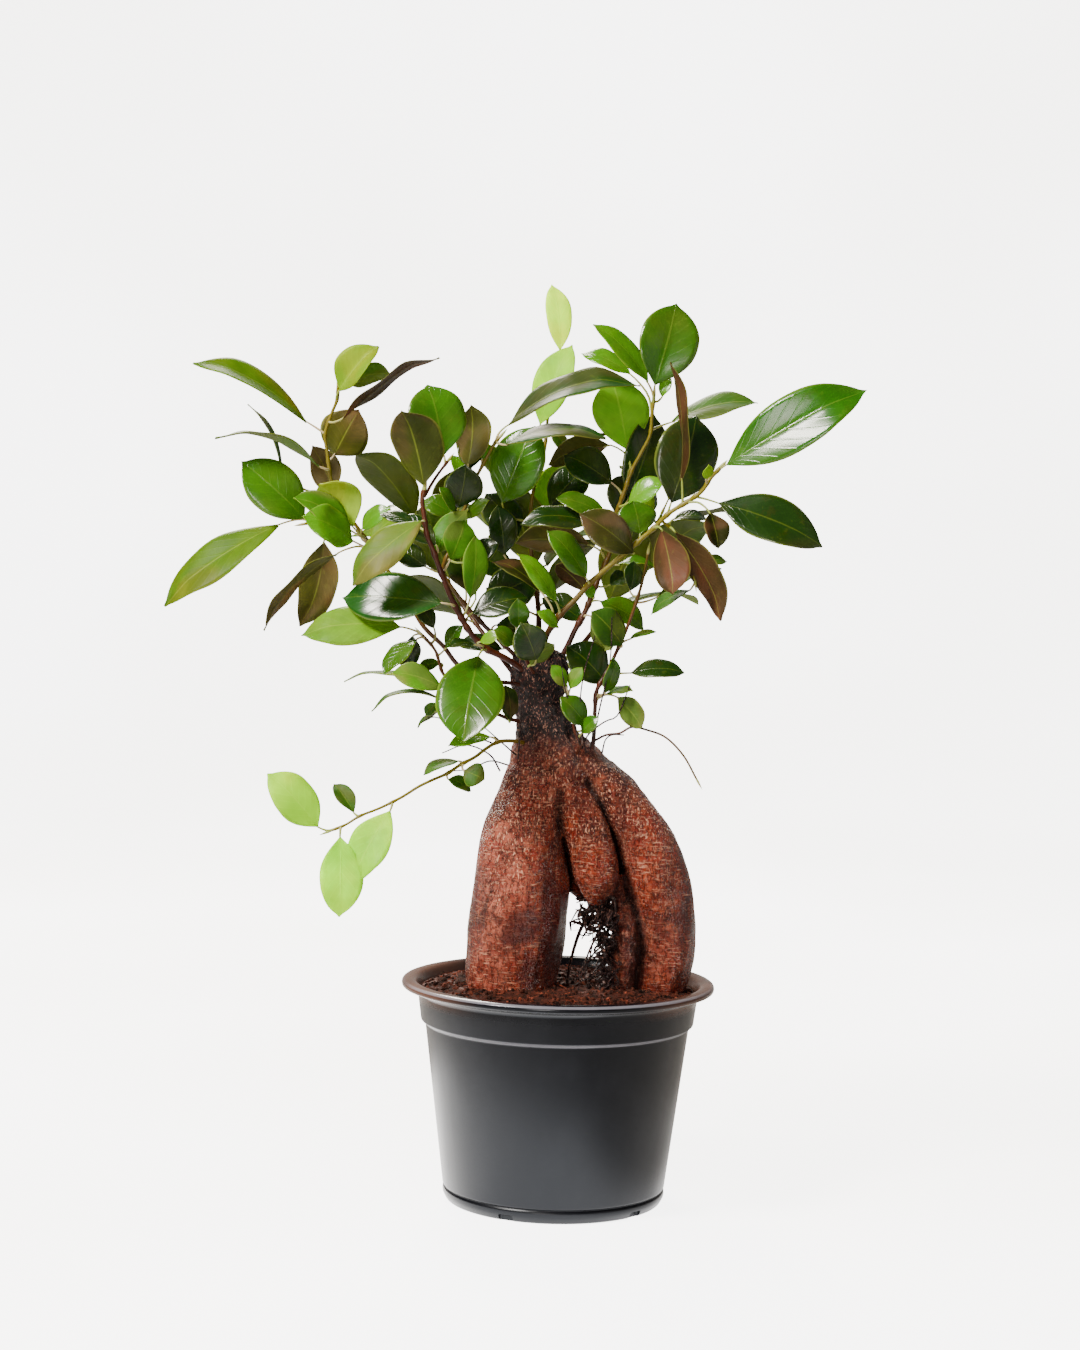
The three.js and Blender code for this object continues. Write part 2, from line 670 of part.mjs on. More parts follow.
// The stems behind the crown carry their leaves by a rule: round the stem by the golden angle.
const goldenAngle = THREE.MathUtils.degToRad(137.5);
const backStemRadius = 1.45;
const backTipRadius = 0.7;
const firstBackLeaf = 0.42;
const backStalk = 9;
const shortestBackLeaf = 36;
const backLeafSpread = 16;
const backLeafWidth = 0.58;
const backStems = {
  stem_back_left: {
    path: [[-17, 255, 9], [-27, 268, 20], [-42, 288, 34], [-57, 310, 46], [-66, 334, 56]],
    leaves: 9,
    seed: 3,
  },
  stem_back_centre: {
    path: [[-9, 258, 13], [-10, 275, 28], [-10, 298, 48], [-12, 322, 64], [-14, 346, 76]],
    leaves: 9,
    seed: 12,
  },
  stem_back_right: {
    path: [[-1, 256, 11], [9, 272, 24], [26, 294, 40], [41, 318, 52], [52, 342, 61]],
    leaves: 9,
    seed: 30.5,
  },
};

function ruledLeaves(path, count, seed) {
  const curve = new THREE.CatmullRomCurve3(path.map(seen));
  const up = new THREE.Vector3(0, 0, 1);
  const leaves = [];
  for (let i = 0; i < count; i += 1) {
    const share = firstBackLeaf + ((1 - firstBackLeaf) * i) / (count - 1);
    const point = curve.getPointAt(share);
    const tangent = curve.getTangentAt(share);
    const out = new THREE.Vector3().crossVectors(tangent, up).normalize();
    out.applyAxisAngle(tangent, i * goldenAngle + seed);
    const along = out.multiplyScalar(0.8).addScaledVector(tangent, 0.6).addScaledVector(up, 0.15).normalize();
    const length = shortestBackLeaf + backLeafSpread * chance(seed + i);
    const start = point.clone().addScaledVector(along, backStalk);
    const end = start.clone().addScaledVector(along, length);
    const face = tangent.clone().addScaledVector(up, 0.6);
    face.addScaledVector(along, -face.dot(along)).normalize();
    leaves.push({ start, end, width: length * backLeafWidth, face, bow: usualBow, fold: usualFold });
  }
  return leaves;
}

for (const [name, { path, leaves, seed }] of Object.entries(backStems)) {
  const stem = twig(path, backStemRadius, backTipRadius);
  leafyStems[name] = { twigs: [stem], leaves: ruledLeaves(path, leaves, seed) };
}

// A leaf and its stalk in one: rings of four corners (one edge, the rib above, the other edge, the rib
// below) from the stalk's foot in the stem out to the blade's tip, so both skins are split alike.
function leafBody({ start, end, width, face, bow, fold }, foot) {
  const along = end.clone().sub(start);
  const length = along.length();
  along.normalize();
  const stalkWay = start.clone().sub(foot).normalize();
  const turnWay = stalkWay.clone().add(along).normalize();
  const slope = THREE.MathUtils.degToRad(fold);
  const rings = [
    { at: foot, way: stalkWay, reach: stalkRadius, half: stalkRadius, lift: 0 },
    { at: start, way: turnWay, reach: stalkRadius, half: stalkRadius, lift: 0 },
  ];
  for (const [share, spread] of outlineFor(length)) {
    const rise = bow * length * 4 * share * (1 - share);
    const at = start.clone().addScaledVector(along, share * length).addScaledVector(face, rise);
    const reach = (width / 2) * spread * Math.cos(slope);
    rings.push({ at, way: along, reach, half: ribThickness / 2, lift: reach * Math.tan(slope) });
  }
  const corners = [];
  for (const { at, way, reach, half, lift } of rings) {
    const up = face.clone().addScaledVector(way, -face.dot(way)).normalize();
    const across = new THREE.Vector3().crossVectors(up, way);
    for (const [side, height] of [[-reach, lift], [0, half], [reach, lift], [0, -half]]) {
      corners.push(at.clone().addScaledVector(across, side).addScaledVector(up, height));
    }
  }
  corners.push(end.clone());
  const tip = corners.length - 1;
  const triangles = [0, 1, 2, 0, 2, 3];
  for (let near = 0; near + 4 <= tip; near += 4) {
    for (let k = 0; k < 4; k += 1) {
      const here = near + k;
      const next = near + ((k + 1) % 4);
      if (near + 4 === tip) {
        triangles.push(here, tip, next);
      } else if (k % 2 === 0) {
        triangles.push(here, here + 4, next + 4, here, next + 4, next);
      } else {
        triangles.push(here, here + 4, next, next, here + 4, next + 4);
      }
    }
  }
  const geometry = new THREE.BufferGeometry();
  const places = corners.flatMap((corner) => corner.toArray());
  geometry.setAttribute("position", new THREE.Float32BufferAttribute(places, 3));
  geometry.setIndex(triangles);
  return outward(solid(geometry), geometry);
}

// The place where a leaf's stalk leaves its stem: the nearest place, and then a little nearer the root.
function stalkFoot(start, curves) {
  let best = { gap: Infinity };
  for (const curve of curves) {
    for (let i = 1; i <= footSamples; i += 1) {
      const point = curve.getPointAt(i / footSamples);
      const gap = point.distanceTo(start);
      if (gap < best.gap) {
        best = { gap, curve, share: i / footSamples };
      }
    }
  }
  const back = (best.gap * 0.5) / best.curve.getLength();
  return best.curve.getPointAt(Math.max(best.share - back, lowestStalk));
}

function leafyStem({ twigs, leaves }) {
  const curves = twigs.map(({ points }) => new THREE.CatmullRomCurve3(points));
  const wood = twigs.map(({ points, startRadius, endRadius }) =>
    limb(points, startRadius, endRadius, stemSides, Math.max(points.length - 1, fewestSteps))
  );
  const foliage = leaves.map((shape) => leafBody(shape, stalkFoot(shape.start, curves)));
  return join([...wood, ...foliage]);
}

// The hole that a stem's foot stands in: the first stretch of the stem, grown by the fit.
function socket({ twigs }) {
  const { points, startRadius } = twigs[0];
  return limb(points.slice(0, socketPoints), startRadius, startRadius, stemSides, socketSegments, socketFit);
}

const stems = Object.entries(leafyStems);
const sockets = join(stems.map(([, plan]) => socket(plan)));

const plant = new THREE.Group();
plant.add(mesh("pot", makePot(), finish(0x2b2b2e, 0.45)));
plant.add(mesh("soil", makeSoil(makeRoots(fit)), finish(0x3a2318, 0.95)));
plant.add(mesh("trunk", makeRoots(0).subtract(sockets), finish(0x7a3d26, 0.6)));
for (const [name, plan] of stems) {
  plant.add(mesh(name, leafyStem(plan), finish(0x4f8a2a, 0.4)));
}

export default plant;
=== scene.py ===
"""A ficus ginseng bonsai in its black nursery pot, dressed round its solid model.

Metres, +Z up, origin at the centre of the pot's base. The front of the plant looks along -Y.
"""

import math
import random

import bpy
import numpy as np
from mathutils import Euler, Matrix, Quaternion, Vector, noise


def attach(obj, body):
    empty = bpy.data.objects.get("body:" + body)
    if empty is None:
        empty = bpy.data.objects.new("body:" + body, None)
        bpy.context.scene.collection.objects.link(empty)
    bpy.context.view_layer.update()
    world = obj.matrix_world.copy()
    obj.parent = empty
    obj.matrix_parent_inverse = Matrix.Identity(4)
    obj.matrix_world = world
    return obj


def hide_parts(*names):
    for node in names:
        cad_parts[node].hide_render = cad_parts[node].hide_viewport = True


bl_info = {
    "name": "Ficus ginseng bonsai",
    "version": (1, 0, 0),
    "blender": (4, 5, 0),
    "location": "View3D > Sidebar > Ficus",
    "description": "Builds the potted ficus and a plain stage round it",
    "category": "Add Mesh",
}

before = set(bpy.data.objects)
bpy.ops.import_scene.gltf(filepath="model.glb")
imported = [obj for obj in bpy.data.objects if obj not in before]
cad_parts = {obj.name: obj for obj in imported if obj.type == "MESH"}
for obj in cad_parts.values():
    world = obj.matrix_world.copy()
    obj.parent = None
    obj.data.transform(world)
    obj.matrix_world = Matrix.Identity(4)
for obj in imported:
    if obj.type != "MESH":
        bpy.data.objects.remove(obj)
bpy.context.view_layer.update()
MM = 0.001

# The front view that the plant's places are given in, in millimetres: where the eye stands, how
# far the plant leans to the right as it is seen from there, and the middle of the picture.
EYE = Vector((-12.7, -1320, 330))
LEAN = math.radians(1.38)
LEAN_FOOT = 2.6
PICTURE_MIDDLE = (-9, 261, 0)
PICTURE_HEIGHT = 675


def seen(place):
    """A place as the eye sees it (right, up, depth behind the pot's axis), in metres."""
    right, up, depth = place[:3]
    x = (right + LEAN_FOOT) * math.cos(LEAN) - up * math.sin(LEAN)
    z = (right + LEAN_FOOT) * math.sin(LEAN) + up * math.cos(LEAN)
    reach = 1 - depth / EYE.y
    return Vector((EYE.x + (x - EYE.x) * reach, depth, EYE.z + (z - EYE.z) * reach)) * MM


def smooth_path(points, steps):
    """Places spaced evenly along a smooth curve through the points (a centripetal spline)."""
    points = [Vector(p) for p in points]
    ends = [2 * points[0] - points[1], *points, 2 * points[-1] - points[-2]]
    fine = []
    for before, a, b, after in zip(ends, ends[1:], ends[2:], ends[3:]):
        gap0, gap1, gap2 = (max((q - p).length, 1e-7) ** 0.5 for p, q in ((before, a), (a, b), (b, after)))
        slope_a = ((a - before) / gap0 - (b - before) / (gap0 + gap1) + (b - a) / gap1) * gap1
        slope_b = ((b - a) / gap1 - (after - a) / (gap1 + gap2) + (after - b) / gap2) * gap1
        for i in range(16):
            t = i / 16
            t2 = t * t
            t3 = t2 * t
            fine.append(
                a * (2 * t3 - 3 * t2 + 1) + slope_a * (t3 - 2 * t2 + t)
                + b * (3 * t2 - 2 * t3) + slope_b * (t3 - t2)
            )
    fine.append(points[-1])
    runs = [0.0]
    for p, q in zip(fine, fine[1:]):
        runs.append(runs[-1] + (q - p).length)
    marks = np.linspace(0, runs[-1], steps + 1)
    columns = [np.interp(marks, runs, [p[k] for p in fine]) for k in range(3)]
    return [Vector(p) for p in zip(*columns)]


def chance(seed):
    """A number from 0 to 1 that looks random and is always the same for the same seed."""
    value = math.sin(seed * 12.9898) * 43758.5453
    return value - math.floor(value)


def linear(colour):
    """A colour written as hex digits, as the linear values that a shader takes."""
    parts = [int(colour[i : i + 2], 16) / 255 for i in (1, 3, 5)]
    return tuple(p / 12.92 if p <= 0.04045 else ((p + 0.055) / 1.055) ** 2.4 for p in parts) + (1.0,)


def smoothstep(low, high, value):
    t = np.clip((value - low) / (high - low), 0, 1)
    return t * t * (3 - 2 * t)


# Sizes and colours that a user may change.


def length_value(name, description, default):
    return bpy.props.FloatProperty(
        name=name, description=description, default=default, min=0.0, unit="LENGTH", subtype="DISTANCE",
        precision=4,
    )


def power_value(name, description, default):
    return bpy.props.FloatProperty(
        name=name, description=description, default=default, min=0.0, unit="POWER", subtype="POWER"
    )


def strength_value(name, description, default):
    return bpy.props.FloatProperty(name=name, description=description, default=default, min=0.0)


def count_value(name, description, default):
    return bpy.props.IntProperty(name=name, description=description, default=default, min=0)


def colour_value(name, description, default):
    return bpy.props.FloatVectorProperty(
        name=name, description=description, default=linear(default), size=4, min=0.0, max=1.0, subtype="COLOR"
    )


class FICUS_PG_pot(bpy.types.PropertyGroup):
    """Sizes and colour of the nursery pot."""

    rim_radius: length_value("Rim radius", "Radius over the rolled lip", 0.078)
    rim_height: length_value("Rim height", "Height of the middle of the lip", 0.107)
    lip: length_value("Lip thickness", "Thickness of the rolled lip", 0.0046)
    collar_top: length_value("Collar top", "Radius of the collar under the lip", 0.070)
    collar_bottom: length_value("Collar bottom", "Radius of the collar at its step", 0.068)
    collar_step: length_value("Collar step", "Height of the step under the collar", 0.088)
    body_top: length_value("Body top", "Radius of the body under the step", 0.0658)
    body_bottom: length_value("Body bottom", "Radius of the body above the foot", 0.0549)
    foot_height: length_value("Foot height", "Height of the slanted corner at the bottom", 0.0046)
    foot_radius: length_value("Foot radius", "Radius of the flat bottom", 0.0533)
    wall: length_value("Wall", "Thickness of the moulded wall", 0.0015)
    floor: length_value("Floor", "Thickness of the bottom", 0.0022)
    drains: count_value("Drains", "Notches in the bottom corner", 5)
    drain_turn: bpy.props.FloatProperty(
        name="First drain", description="Direction of the first notch", default=math.radians(-115),
        subtype="ANGLE",
    )
    colour: colour_value("Plastic", "Colour of the moulded plastic", "#07080c")


class FICUS_PG_soil(bpy.types.PropertyGroup):
    """Sizes and colours of the potting soil."""

    edge_height: length_value("Edge height", "Height of the soil at the pot's wall", 0.1042)
    mound: length_value("Mound", "How much higher the middle is", 0.0032)
    radius: length_value("Radius", "Radius of the soil at its top", 0.0678)
    crumbs: count_value("Crumbs", "Loose crumbs on the soil", 2600)
    fibres: count_value("Fibres", "Loose fibres on the soil", 420)
    colour: colour_value("Soil", "Colour of the damp soil", "#54281c")


class FICUS_PG_trunk(bpy.types.PropertyGroup):
    """Sizes and colours of the bark."""

    grain: length_value("Grain", "Size of the surface mesh", 0.0011)
    swell: length_value("Swell", "Height of the broad lumps", 0.0011)
    ribs: length_value("Ribs", "Height of the upright wrinkles", 0.0004)
    cork: length_value("Cork", "Height of the rough cork on the neck", 0.0017)
    bark: colour_value("Bark", "Main colour of the bark", "#842814")
    bark_light: colour_value("Light bark", "Colour where the bark is thin and shiny", "#a84c28")
    bark_dark: colour_value("Dark bark", "Colour in the hollows of the bark", "#3c100a")
    # The colour of the pale dashes, which partly stand for painted glints, and of the pale wrinkle lines.
    dash: colour_value("Dashes", "Colour of the fine pale dashes on the bark", "#f0b090")
    cork_colour: colour_value("Cork colour", "Colour of the rough neck", "#2c0a08")


class FICUS_PG_leaves(bpy.types.PropertyGroup):
    """Sizes and colours of the leaves and stems."""

    thickness: length_value("Thickness", "Thickness of a blade", 0.0005)
    stalk: length_value("Stalk", "Radius of a leaf's stalk", 0.0006)
    wood: colour_value("Old wood", "Colour of the older stems", "#48200e")
    young_wood: colour_value("Young wood", "Colour of the young ends of the stems", "#6c640e")
    stalk_colour: colour_value("Stalk colour", "Colour of the leaf stalks and young stems", "#7f8f2c")


class FICUS_PG_stage(bpy.types.PropertyGroup):
    """Colours and strengths of the stage."""

    floor: colour_value("Floor", "Colour of the floor and the backdrop", "#efedea")
    paper: strength_value("Paper", "How bright the paper looks", 6.2)
    key: power_value("Key light", "Power of the key light", 88.0)
    back: power_value("Back light", "Power of the light from behind", 45.0)
    fill: power_value("Fill light", "Power of the fill light", 1.5)
    front: power_value("Front light", "Power of the low front light", 8.0)
    sky: strength_value("Surround", "Strength of the plain surround", 0.15)


class FICUS_PG_settings(bpy.types.PropertyGroup):
    """All the settings of the plant."""

    pot: bpy.props.PointerProperty(type=FICUS_PG_pot)
    soil: bpy.props.PointerProperty(type=FICUS_PG_soil)
    trunk: bpy.props.PointerProperty(type=FICUS_PG_trunk)
    leaves: bpy.props.PointerProperty(type=FICUS_PG_leaves)
    stage: bpy.props.PointerProperty(type=FICUS_PG_stage)


# Small helpers for objects and modifiers.


def deselect():
    bpy.ops.object.select_all(action="DESELECT")


def choose(piece):
    deselect()
    piece.select_set(True)
    bpy.context.view_layer.objects.active = piece


def new_piece(name, vertices=(), edges=(), faces=()):
    data = bpy.data.meshes.new(name)
    data.from_pydata([tuple(v) for v in vertices], edges, faces)
    piece = bpy.data.objects.new(name, data)
    bpy.context.scene.collection.objects.link(piece)
    choose(piece)
    return piece


def apply_modifier(piece, kind, **values):
    choose(piece)
    modifier = piece.modifiers.new(kind.title(), kind)
    for key, value in values.items():
        setattr(modifier, key, value)
    bpy.ops.object.modifier_apply(modifier=modifier.name)


def join_pieces(pieces, name):
    deselect()
    for piece in pieces:
        piece.select_set(True)
    bpy.context.view_layer.objects.active = pieces[0]
    bpy.ops.object.join()
    joined = bpy.context.view_layer.objects.active
    joined.name = name
    joined.data.name = name
    return joined


def smooth_by_angle(piece, degrees):
    choose(piece)
    bpy.ops.object.shade_smooth_by_angle(angle=math.radians(degrees))


def corners(piece):
    places = np.empty(len(piece.data.vertices) * 3)
    piece.data.vertices.foreach_get("co", places)
    return places.reshape(-1, 3)


def move_corners(piece, places):
    piece.data.vertices.foreach_set("co", np.asarray(places, float).ravel())
    piece.data.update()


def paint(piece, name, values):
    """A colour on every corner of a piece, for its material to read."""
    layer = piece.data.attributes.get(name) or piece.data.attributes.new(name, "FLOAT_COLOR", "POINT")
    table = np.ones((len(piece.data.vertices), 4))
    table[:] = values
    layer.data.foreach_set("color", table.ravel())


def dress(piece, *materials):
    """Gives a piece its materials, and leaves which face has which of them as it is."""
    for number, material in enumerate(materials):
        if number < len(piece.data.materials):
            piece.data.materials[number] = material
        else:
            piece.data.materials.append(material)


def close_shell(gap, holes=False):
    """Ends an edit: merges corners closer than the gap, fills holes if asked, and turns faces outwards."""
    bpy.ops.mesh.select_all(action="SELECT")
    bpy.ops.mesh.remove_doubles(threshold=gap)
    if holes:
        bpy.ops.mesh.fill_holes(sides=0)
    bpy.ops.mesh.normals_make_consistent(inside=False)
    bpy.ops.object.mode_set(mode="OBJECT")


def put_in_frame(piece, node):
    """The piece rides on the plant's one body and stands for its solid."""
    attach(piece, "root")
    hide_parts(node)


# Materials.


class Flow:
    """What a node gives out, so that sums and products of such values can be written plainly."""

    def __init__(self, make, socket):
        self.make = make
        self.socket = socket

    def __add__(self, other):
        return self.make.math("ADD", self, other)

    def __sub__(self, other):
        return self.make.math("SUBTRACT", self, other)

    def __rsub__(self, other):
        return self.make.math("SUBTRACT", other, self)

    def __mul__(self, other):
        return self.make.math("MULTIPLY", self, other)

    def __abs__(self):
        return self.make.math("ABSOLUTE", self)


class Finish:
    """A node material, built up a node at a time. Colours are linear values or hex digits."""

    def __init__(self, name):
        self.material = bpy.data.materials.new(name)
        self.material.use_nodes = True
        self.tree = self.material.node_tree
        self.tree.nodes.clear()

    def feed(self, socket, value):
        if isinstance(value, Flow):
            self.tree.links.new(value.socket, socket)
        else:
            socket.default_value = linear(value) if isinstance(value, str) else value

    def read(self, kind, output, settings=None, **inputs):
        """The named or numbered output of a new node."""
        node = self.tree.nodes.new(kind)
        for key, value in (settings or {}).items():
            setattr(node, key, value)
        for key, value in inputs.items():
            self.feed(node.inputs[key.replace("_", " ")], value)
        return Flow(self, node.outputs[output])

    def read_from(self, kind, output, fed, settings=None):
        """The same, for a node whose inputs are known by their numbers."""
        flow = self.read(kind, output, settings)
        for number, value in fed.items():
            self.feed(flow.socket.node.inputs[number], value)
        return flow

    def math(self, operation, a, b=0.0):
        return self.read_from("ShaderNodeMath", 0, {0: a, 1: b}, {"operation": operation})

    def band(self, value, low, high):
        """0 below low, 1 above high, and smooth between."""
        smooth = {"interpolation_type": "SMOOTHSTEP"}
        return self.read("ShaderNodeMapRange", "Result", smooth, Value=value, From_Min=low, From_Max=high)

    def mix(self, share, a, b, blend="MIX"):
        settings = {"data_type": "RGBA", "blend_type": blend}
        return self.read_from("ShaderNodeMix", 2, {0: share, 6: a, 7: b}, settings)

    def times(self, a, b):
        return self.mix(1.0, a, b, "MULTIPLY")

    def coats(self, base, *coats):
        """A colour with others laid over it in turn, each as its share and its colour."""
        for share, colour in coats:
            base = self.mix(share, base, colour)
        return base

    def painted(self, name, output="Fac"):
        """An attribute that is painted on the piece."""
        return self.read("ShaderNodeAttribute", output, {"attribute_name": name})

    def places(self, stretch=(1, 1, 1)):
        where = self.read("ShaderNodeTexCoord", "Object")
        return self.read("ShaderNodeMapping", "Vector", Vector=where, Scale=stretch)

    def axes(self, vector=None):
        split = self.read("ShaderNodeSeparateXYZ", 0, Vector=vector or self.places())
        return [Flow(self, socket) for socket in split.socket.node.outputs]

    def noise(self, scale, detail=3.0, roughness=0.5, stretch=(1, 1, 1)):
        where = self.places(stretch)
        return self.read(
            "ShaderNodeTexNoise", "Fac", Vector=where, Scale=scale, Detail=detail, Roughness=roughness
        )

    def lines(self, value, width):
        """Thin wandering lines, where a noise crosses its middle."""
        return 1 - self.band(abs(value - 0.5), 0.0, width)

    def bump(self, height, distance, strength=1.0):
        return self.read("ShaderNodeBump", "Normal", Height=height, Strength=strength, Distance=distance)

    def done(self, shader):
        self.feed(self.tree.nodes.new("ShaderNodeOutputMaterial").inputs["Surface"], shader)
        return self.material

    def surface(self, through=None, **inputs):
        """The Principled surface, with a share of light let through where that is given."""
        shader = self.read("ShaderNodeBsdfPrincipled", 0, **inputs)
        if through:
            share, colour = through
            light = self.read("ShaderNodeBsdfTranslucent", 0, Color=colour)
            shader = self.read_from("ShaderNodeMixShader", 0, {0: share, 1: shader, 2: light})
        return self.done(shader)


def pot_plastic(values):
    make = Finish("pot_plastic")
    across, depth, height = make.axes()
    cloud = make.noise(38, 4)
    fine = make.noise(1400, 2)
    rubbed = make.noise(120, 5, 0.7, (1, 1, 0.16))
    rim = values.rim_height
    lip = make.band(height, rim - 0.01, rim - 0.005)
    # The lip's left and right ends take a warm brown painted reflection of warm surroundings mirrored in the
    # plastic.
    side = make.band(abs(across), 0.035, 0.075)
    base = make.coats(
        values.colour,
        (make.band(cloud, 0.42, 0.8) * 0.12, "#34363c"),
        (lip * side * 0.7, "#6a4a3c"),
    )
    # Thin pale lines along the collar step and along the lip's crest, stronger towards the front, are painted
    # highlights.
    step_line = 1 - make.band(abs(height - values.collar_step), 0.0003, 0.0011)
    crest_line = 1 - make.band(abs(height - (rim + 0.0013)), 0.0002, 0.0009)
    radius = make.math("SQRT", across * across + depth * depth)
    crest_line *= make.band(radius, values.rim_radius - 0.002, values.rim_radius - 0.001)
    front = make.band(depth * -1, 0.01, 0.06)
    painted_edge_highlight = make.math("MAXIMUM", step_line, crest_line) * (front + 0.3) * (cloud * 0.7 + 0.2)
    base = make.mix(make.math("MINIMUM", painted_edge_highlight, 0.5), base, "#8c8c96")
    return make.surface(
        Base_Color=base, Roughness=rubbed * 0.14 + 0.24 - lip * 0.14, Normal=make.bump(fine, 0.00006, 0.3),
        Specular_IOR_Level=0.2, Specular_Tint=(0.88, 0.93, 1.0, 1)
    )


def soil_finish(colour):
    make = Finish("potting_soil")
    broad = make.noise(160, 5, 0.7)
    fine = make.noise(900, 4, 0.7)
    dark = make.mix(make.band(broad, 0.35, 0.7), "#1d100a", colour)
    return make.surface(
        Base_Color=make.times(dark, make.painted("grain_tint", "Color")),
        Roughness=0.95 - make.band(broad, 0.5, 0.62) * 0.5,
        Normal=make.bump(fine, 0.0006, 0.9),
        Specular_IOR_Level=0.15,
    )


def bark_finish(values):
    make = Finish("bark")
    cork, hollow_shade, stain_and_shade, crackle_glints, pale = map(make.painted, ("cork", "hollow_shade", "stain_and_shade", "crackle_glints", "pale"))
    broad = make.noise(34, 4, 0.6)
    patch = make.noise(150, 5, 0.7)
    upright = make.noise(1, 4, 0.6, (700, 700, 70))
    grit = make.noise(1500, 3, 0.7)
    wrinkles = make.lines(make.noise(1, 2, 0.55, (40, 40, 520)), 0.022)
    fissures = make.lines(make.noise(1, 3, 0.6, (420, 420, 190)), 0.045)
    level_dash = make.band(make.noise(1, 2, 0.5, (180, 180, 1300)), 0.6, 0.66)
    # The steep dashes, laid where the crackle mask is, are partly pale crackle and partly painted glints on
    # the lit bark.
    steep_dash = make.band(make.noise(1, 2, 0.5, (1200, 1200, 480)), 0.59, 0.64)
    low = level_dash * make.band(broad, 0.4, 0.6) * 0.6
    dashes_and_glints = make.math("MAXIMUM", steep_dash * crackle_glints, low)
    # Dark patches, partly stains and partly painted shade on the sides turned from the light.
    stain_shade_blot = make.band(stain_and_shade + (patch - 0.5) * 1.1, 0.2, 0.8) * make.band(stain_and_shade, 0.02, 0.3)
    crust = make.noise(420, 5, 0.75)
    # Pale flakes on the cork, partly real flakes and partly painted glints.
    flakes_and_glints = make.band(make.noise(1, 2, 0.5, (1200, 1200, 800)), 0.6, 0.64)
    corky = make.coats(
        "#0c0403",
        (make.band(crust, 0.46, 0.62), values.cork_colour),
        (make.band(crust, 0.62, 0.72) * 0.35, "#7c3c26"),
        (flakes_and_glints * 0.6, "#c08c78"),
    )
    base = make.coats(
        values.bark_dark,
        (make.band(broad, 0.34, 0.66), values.bark),
        (make.band(patch, 0.42, 0.7) * 0.7, values.bark_light),
        (wrinkles * 0.35, values.dash),
        # pale: painted light, a lighter pink where the key light falls fullest, and a little over all the
        # bark.
        (pale * (make.band(patch, 0.4, 0.6) * 0.5 + 0.1), "#c4705a"),
        (fissures * 0.8, "#220705"),
        (make.band(upright, 0.5, 0.66) * 0.4, values.bark_dark),
        (dashes_and_glints * 0.9, values.dash),
        (stain_shade_blot * 0.7, "#38090c"),
        # Painted shade in the bark's hollows and creases.
        (hollow_shade * 0.85, "#140705"),
        (cork, corky),
    )
    height = wrinkles * 0.35 + upright * 0.7 - fissures * 0.35
    height += grit * 0.8 + dashes_and_glints * 0.4 + crust * cork * 1.6
    return make.surface(
        Base_Color=base, Roughness=patch * 0.26 + 0.12 + cork * 0.3, Normal=make.bump(height, 0.0015),
        Specular_IOR_Level=0.34
    )


def wood_finish(old, young):
    make = Finish("stem_wood")
    fine = make.noise(900, 4, 0.7)
    base = make.coats(
        old,
        (make.band(make.noise(90, 4), 0.35, 0.7), "#2c1007"),
        (make.painted("young"), young),
        (make.band(fine, 0.6, 0.75) * 0.3, "#8a5c24"),
    )
    return make.surface(
        Base_Color=base, Roughness=0.32, Normal=make.bump(fine, 0.00016, 0.5), Specular_IOR_Level=0.22
    )


def stalk_finish(colour):
    make = Finish("leaf_stalk")
    base = make.mix(make.band(make.noise(60), 0.4, 0.7), colour, "#b9a27c")
    return make.surface(Base_Color=base, Roughness=0.45, Subsurface_Weight=0.05)


def leaf_finish(upper, glossy):
    make = Finish(("glossy_" if glossy else "satin_") + ("leaf_upper" if upper else "leaf_under"))
    shiny = upper and glossy
    tint = make.painted("leaf_tint" if upper else "leaf_under", "Color")
    u, v, _ = make.axes(make.read("ShaderNodeUVMap", "UV", {"uv_map": "UVMap"}))
    across = abs(u - 0.5)
    rib = 1 - make.band(across, 0.006, 0.024)
    veins = 1 - make.band(abs(make.math("FRACT", v * 10 - across * 5) - 0.5), 0.02, 0.12)
    cloud = make.noise(70)
    shade = make.mix(make.band(cloud, 0.3, 0.75), (0.74, 0.8, 0.6, 1), (1.2, 1.14, 0.9, 1))
    pale = make.mix(0.4, tint, "#c4d84c")
    base = make.coats(
        make.times(tint, shade),
        (make.band(make.noise(42, 2), 0.5, 0.7) * 0.6, make.times(tint, (1.5, 0.94, 0.8, 1))),
        (make.band(make.noise(120, 5, 0.65), 0.54, 0.66) * 0.3, make.mix(0.55, tint, "#4e3410")),
        (make.band(make.noise(260, 3, 0.6), 0.6, 0.7) * 0.1, pale),
        (rib * (0.25 if shiny else 0.5), pale),
    )
    base = make.coats(
        base,
        (veins * 0.22, make.times(base, (1.5, 1.45, 1.3, 1))),
        (make.band(across, 0.455, 0.485) * 0.45, pale),
    )
    ridge = rib * 0.7 + veins * 0.4
    if upper:
        ridge *= -1
    return make.surface(
        through=(0.34, make.times(tint, (2.0, 1.9, 0.3, 1))),
        Base_Color=base,
        Roughness=cloud * 0.16 + (0.15 if shiny else 0.38),
        Normal=make.bump(ridge + make.noise(900) * 0.03, 0.00025, 0.5),
        Specular_IOR_Level=0.5 if shiny else 0.14,
        Coat_Weight=0.12 if shiny else 0.0,
        Coat_Roughness=0.12,
    )


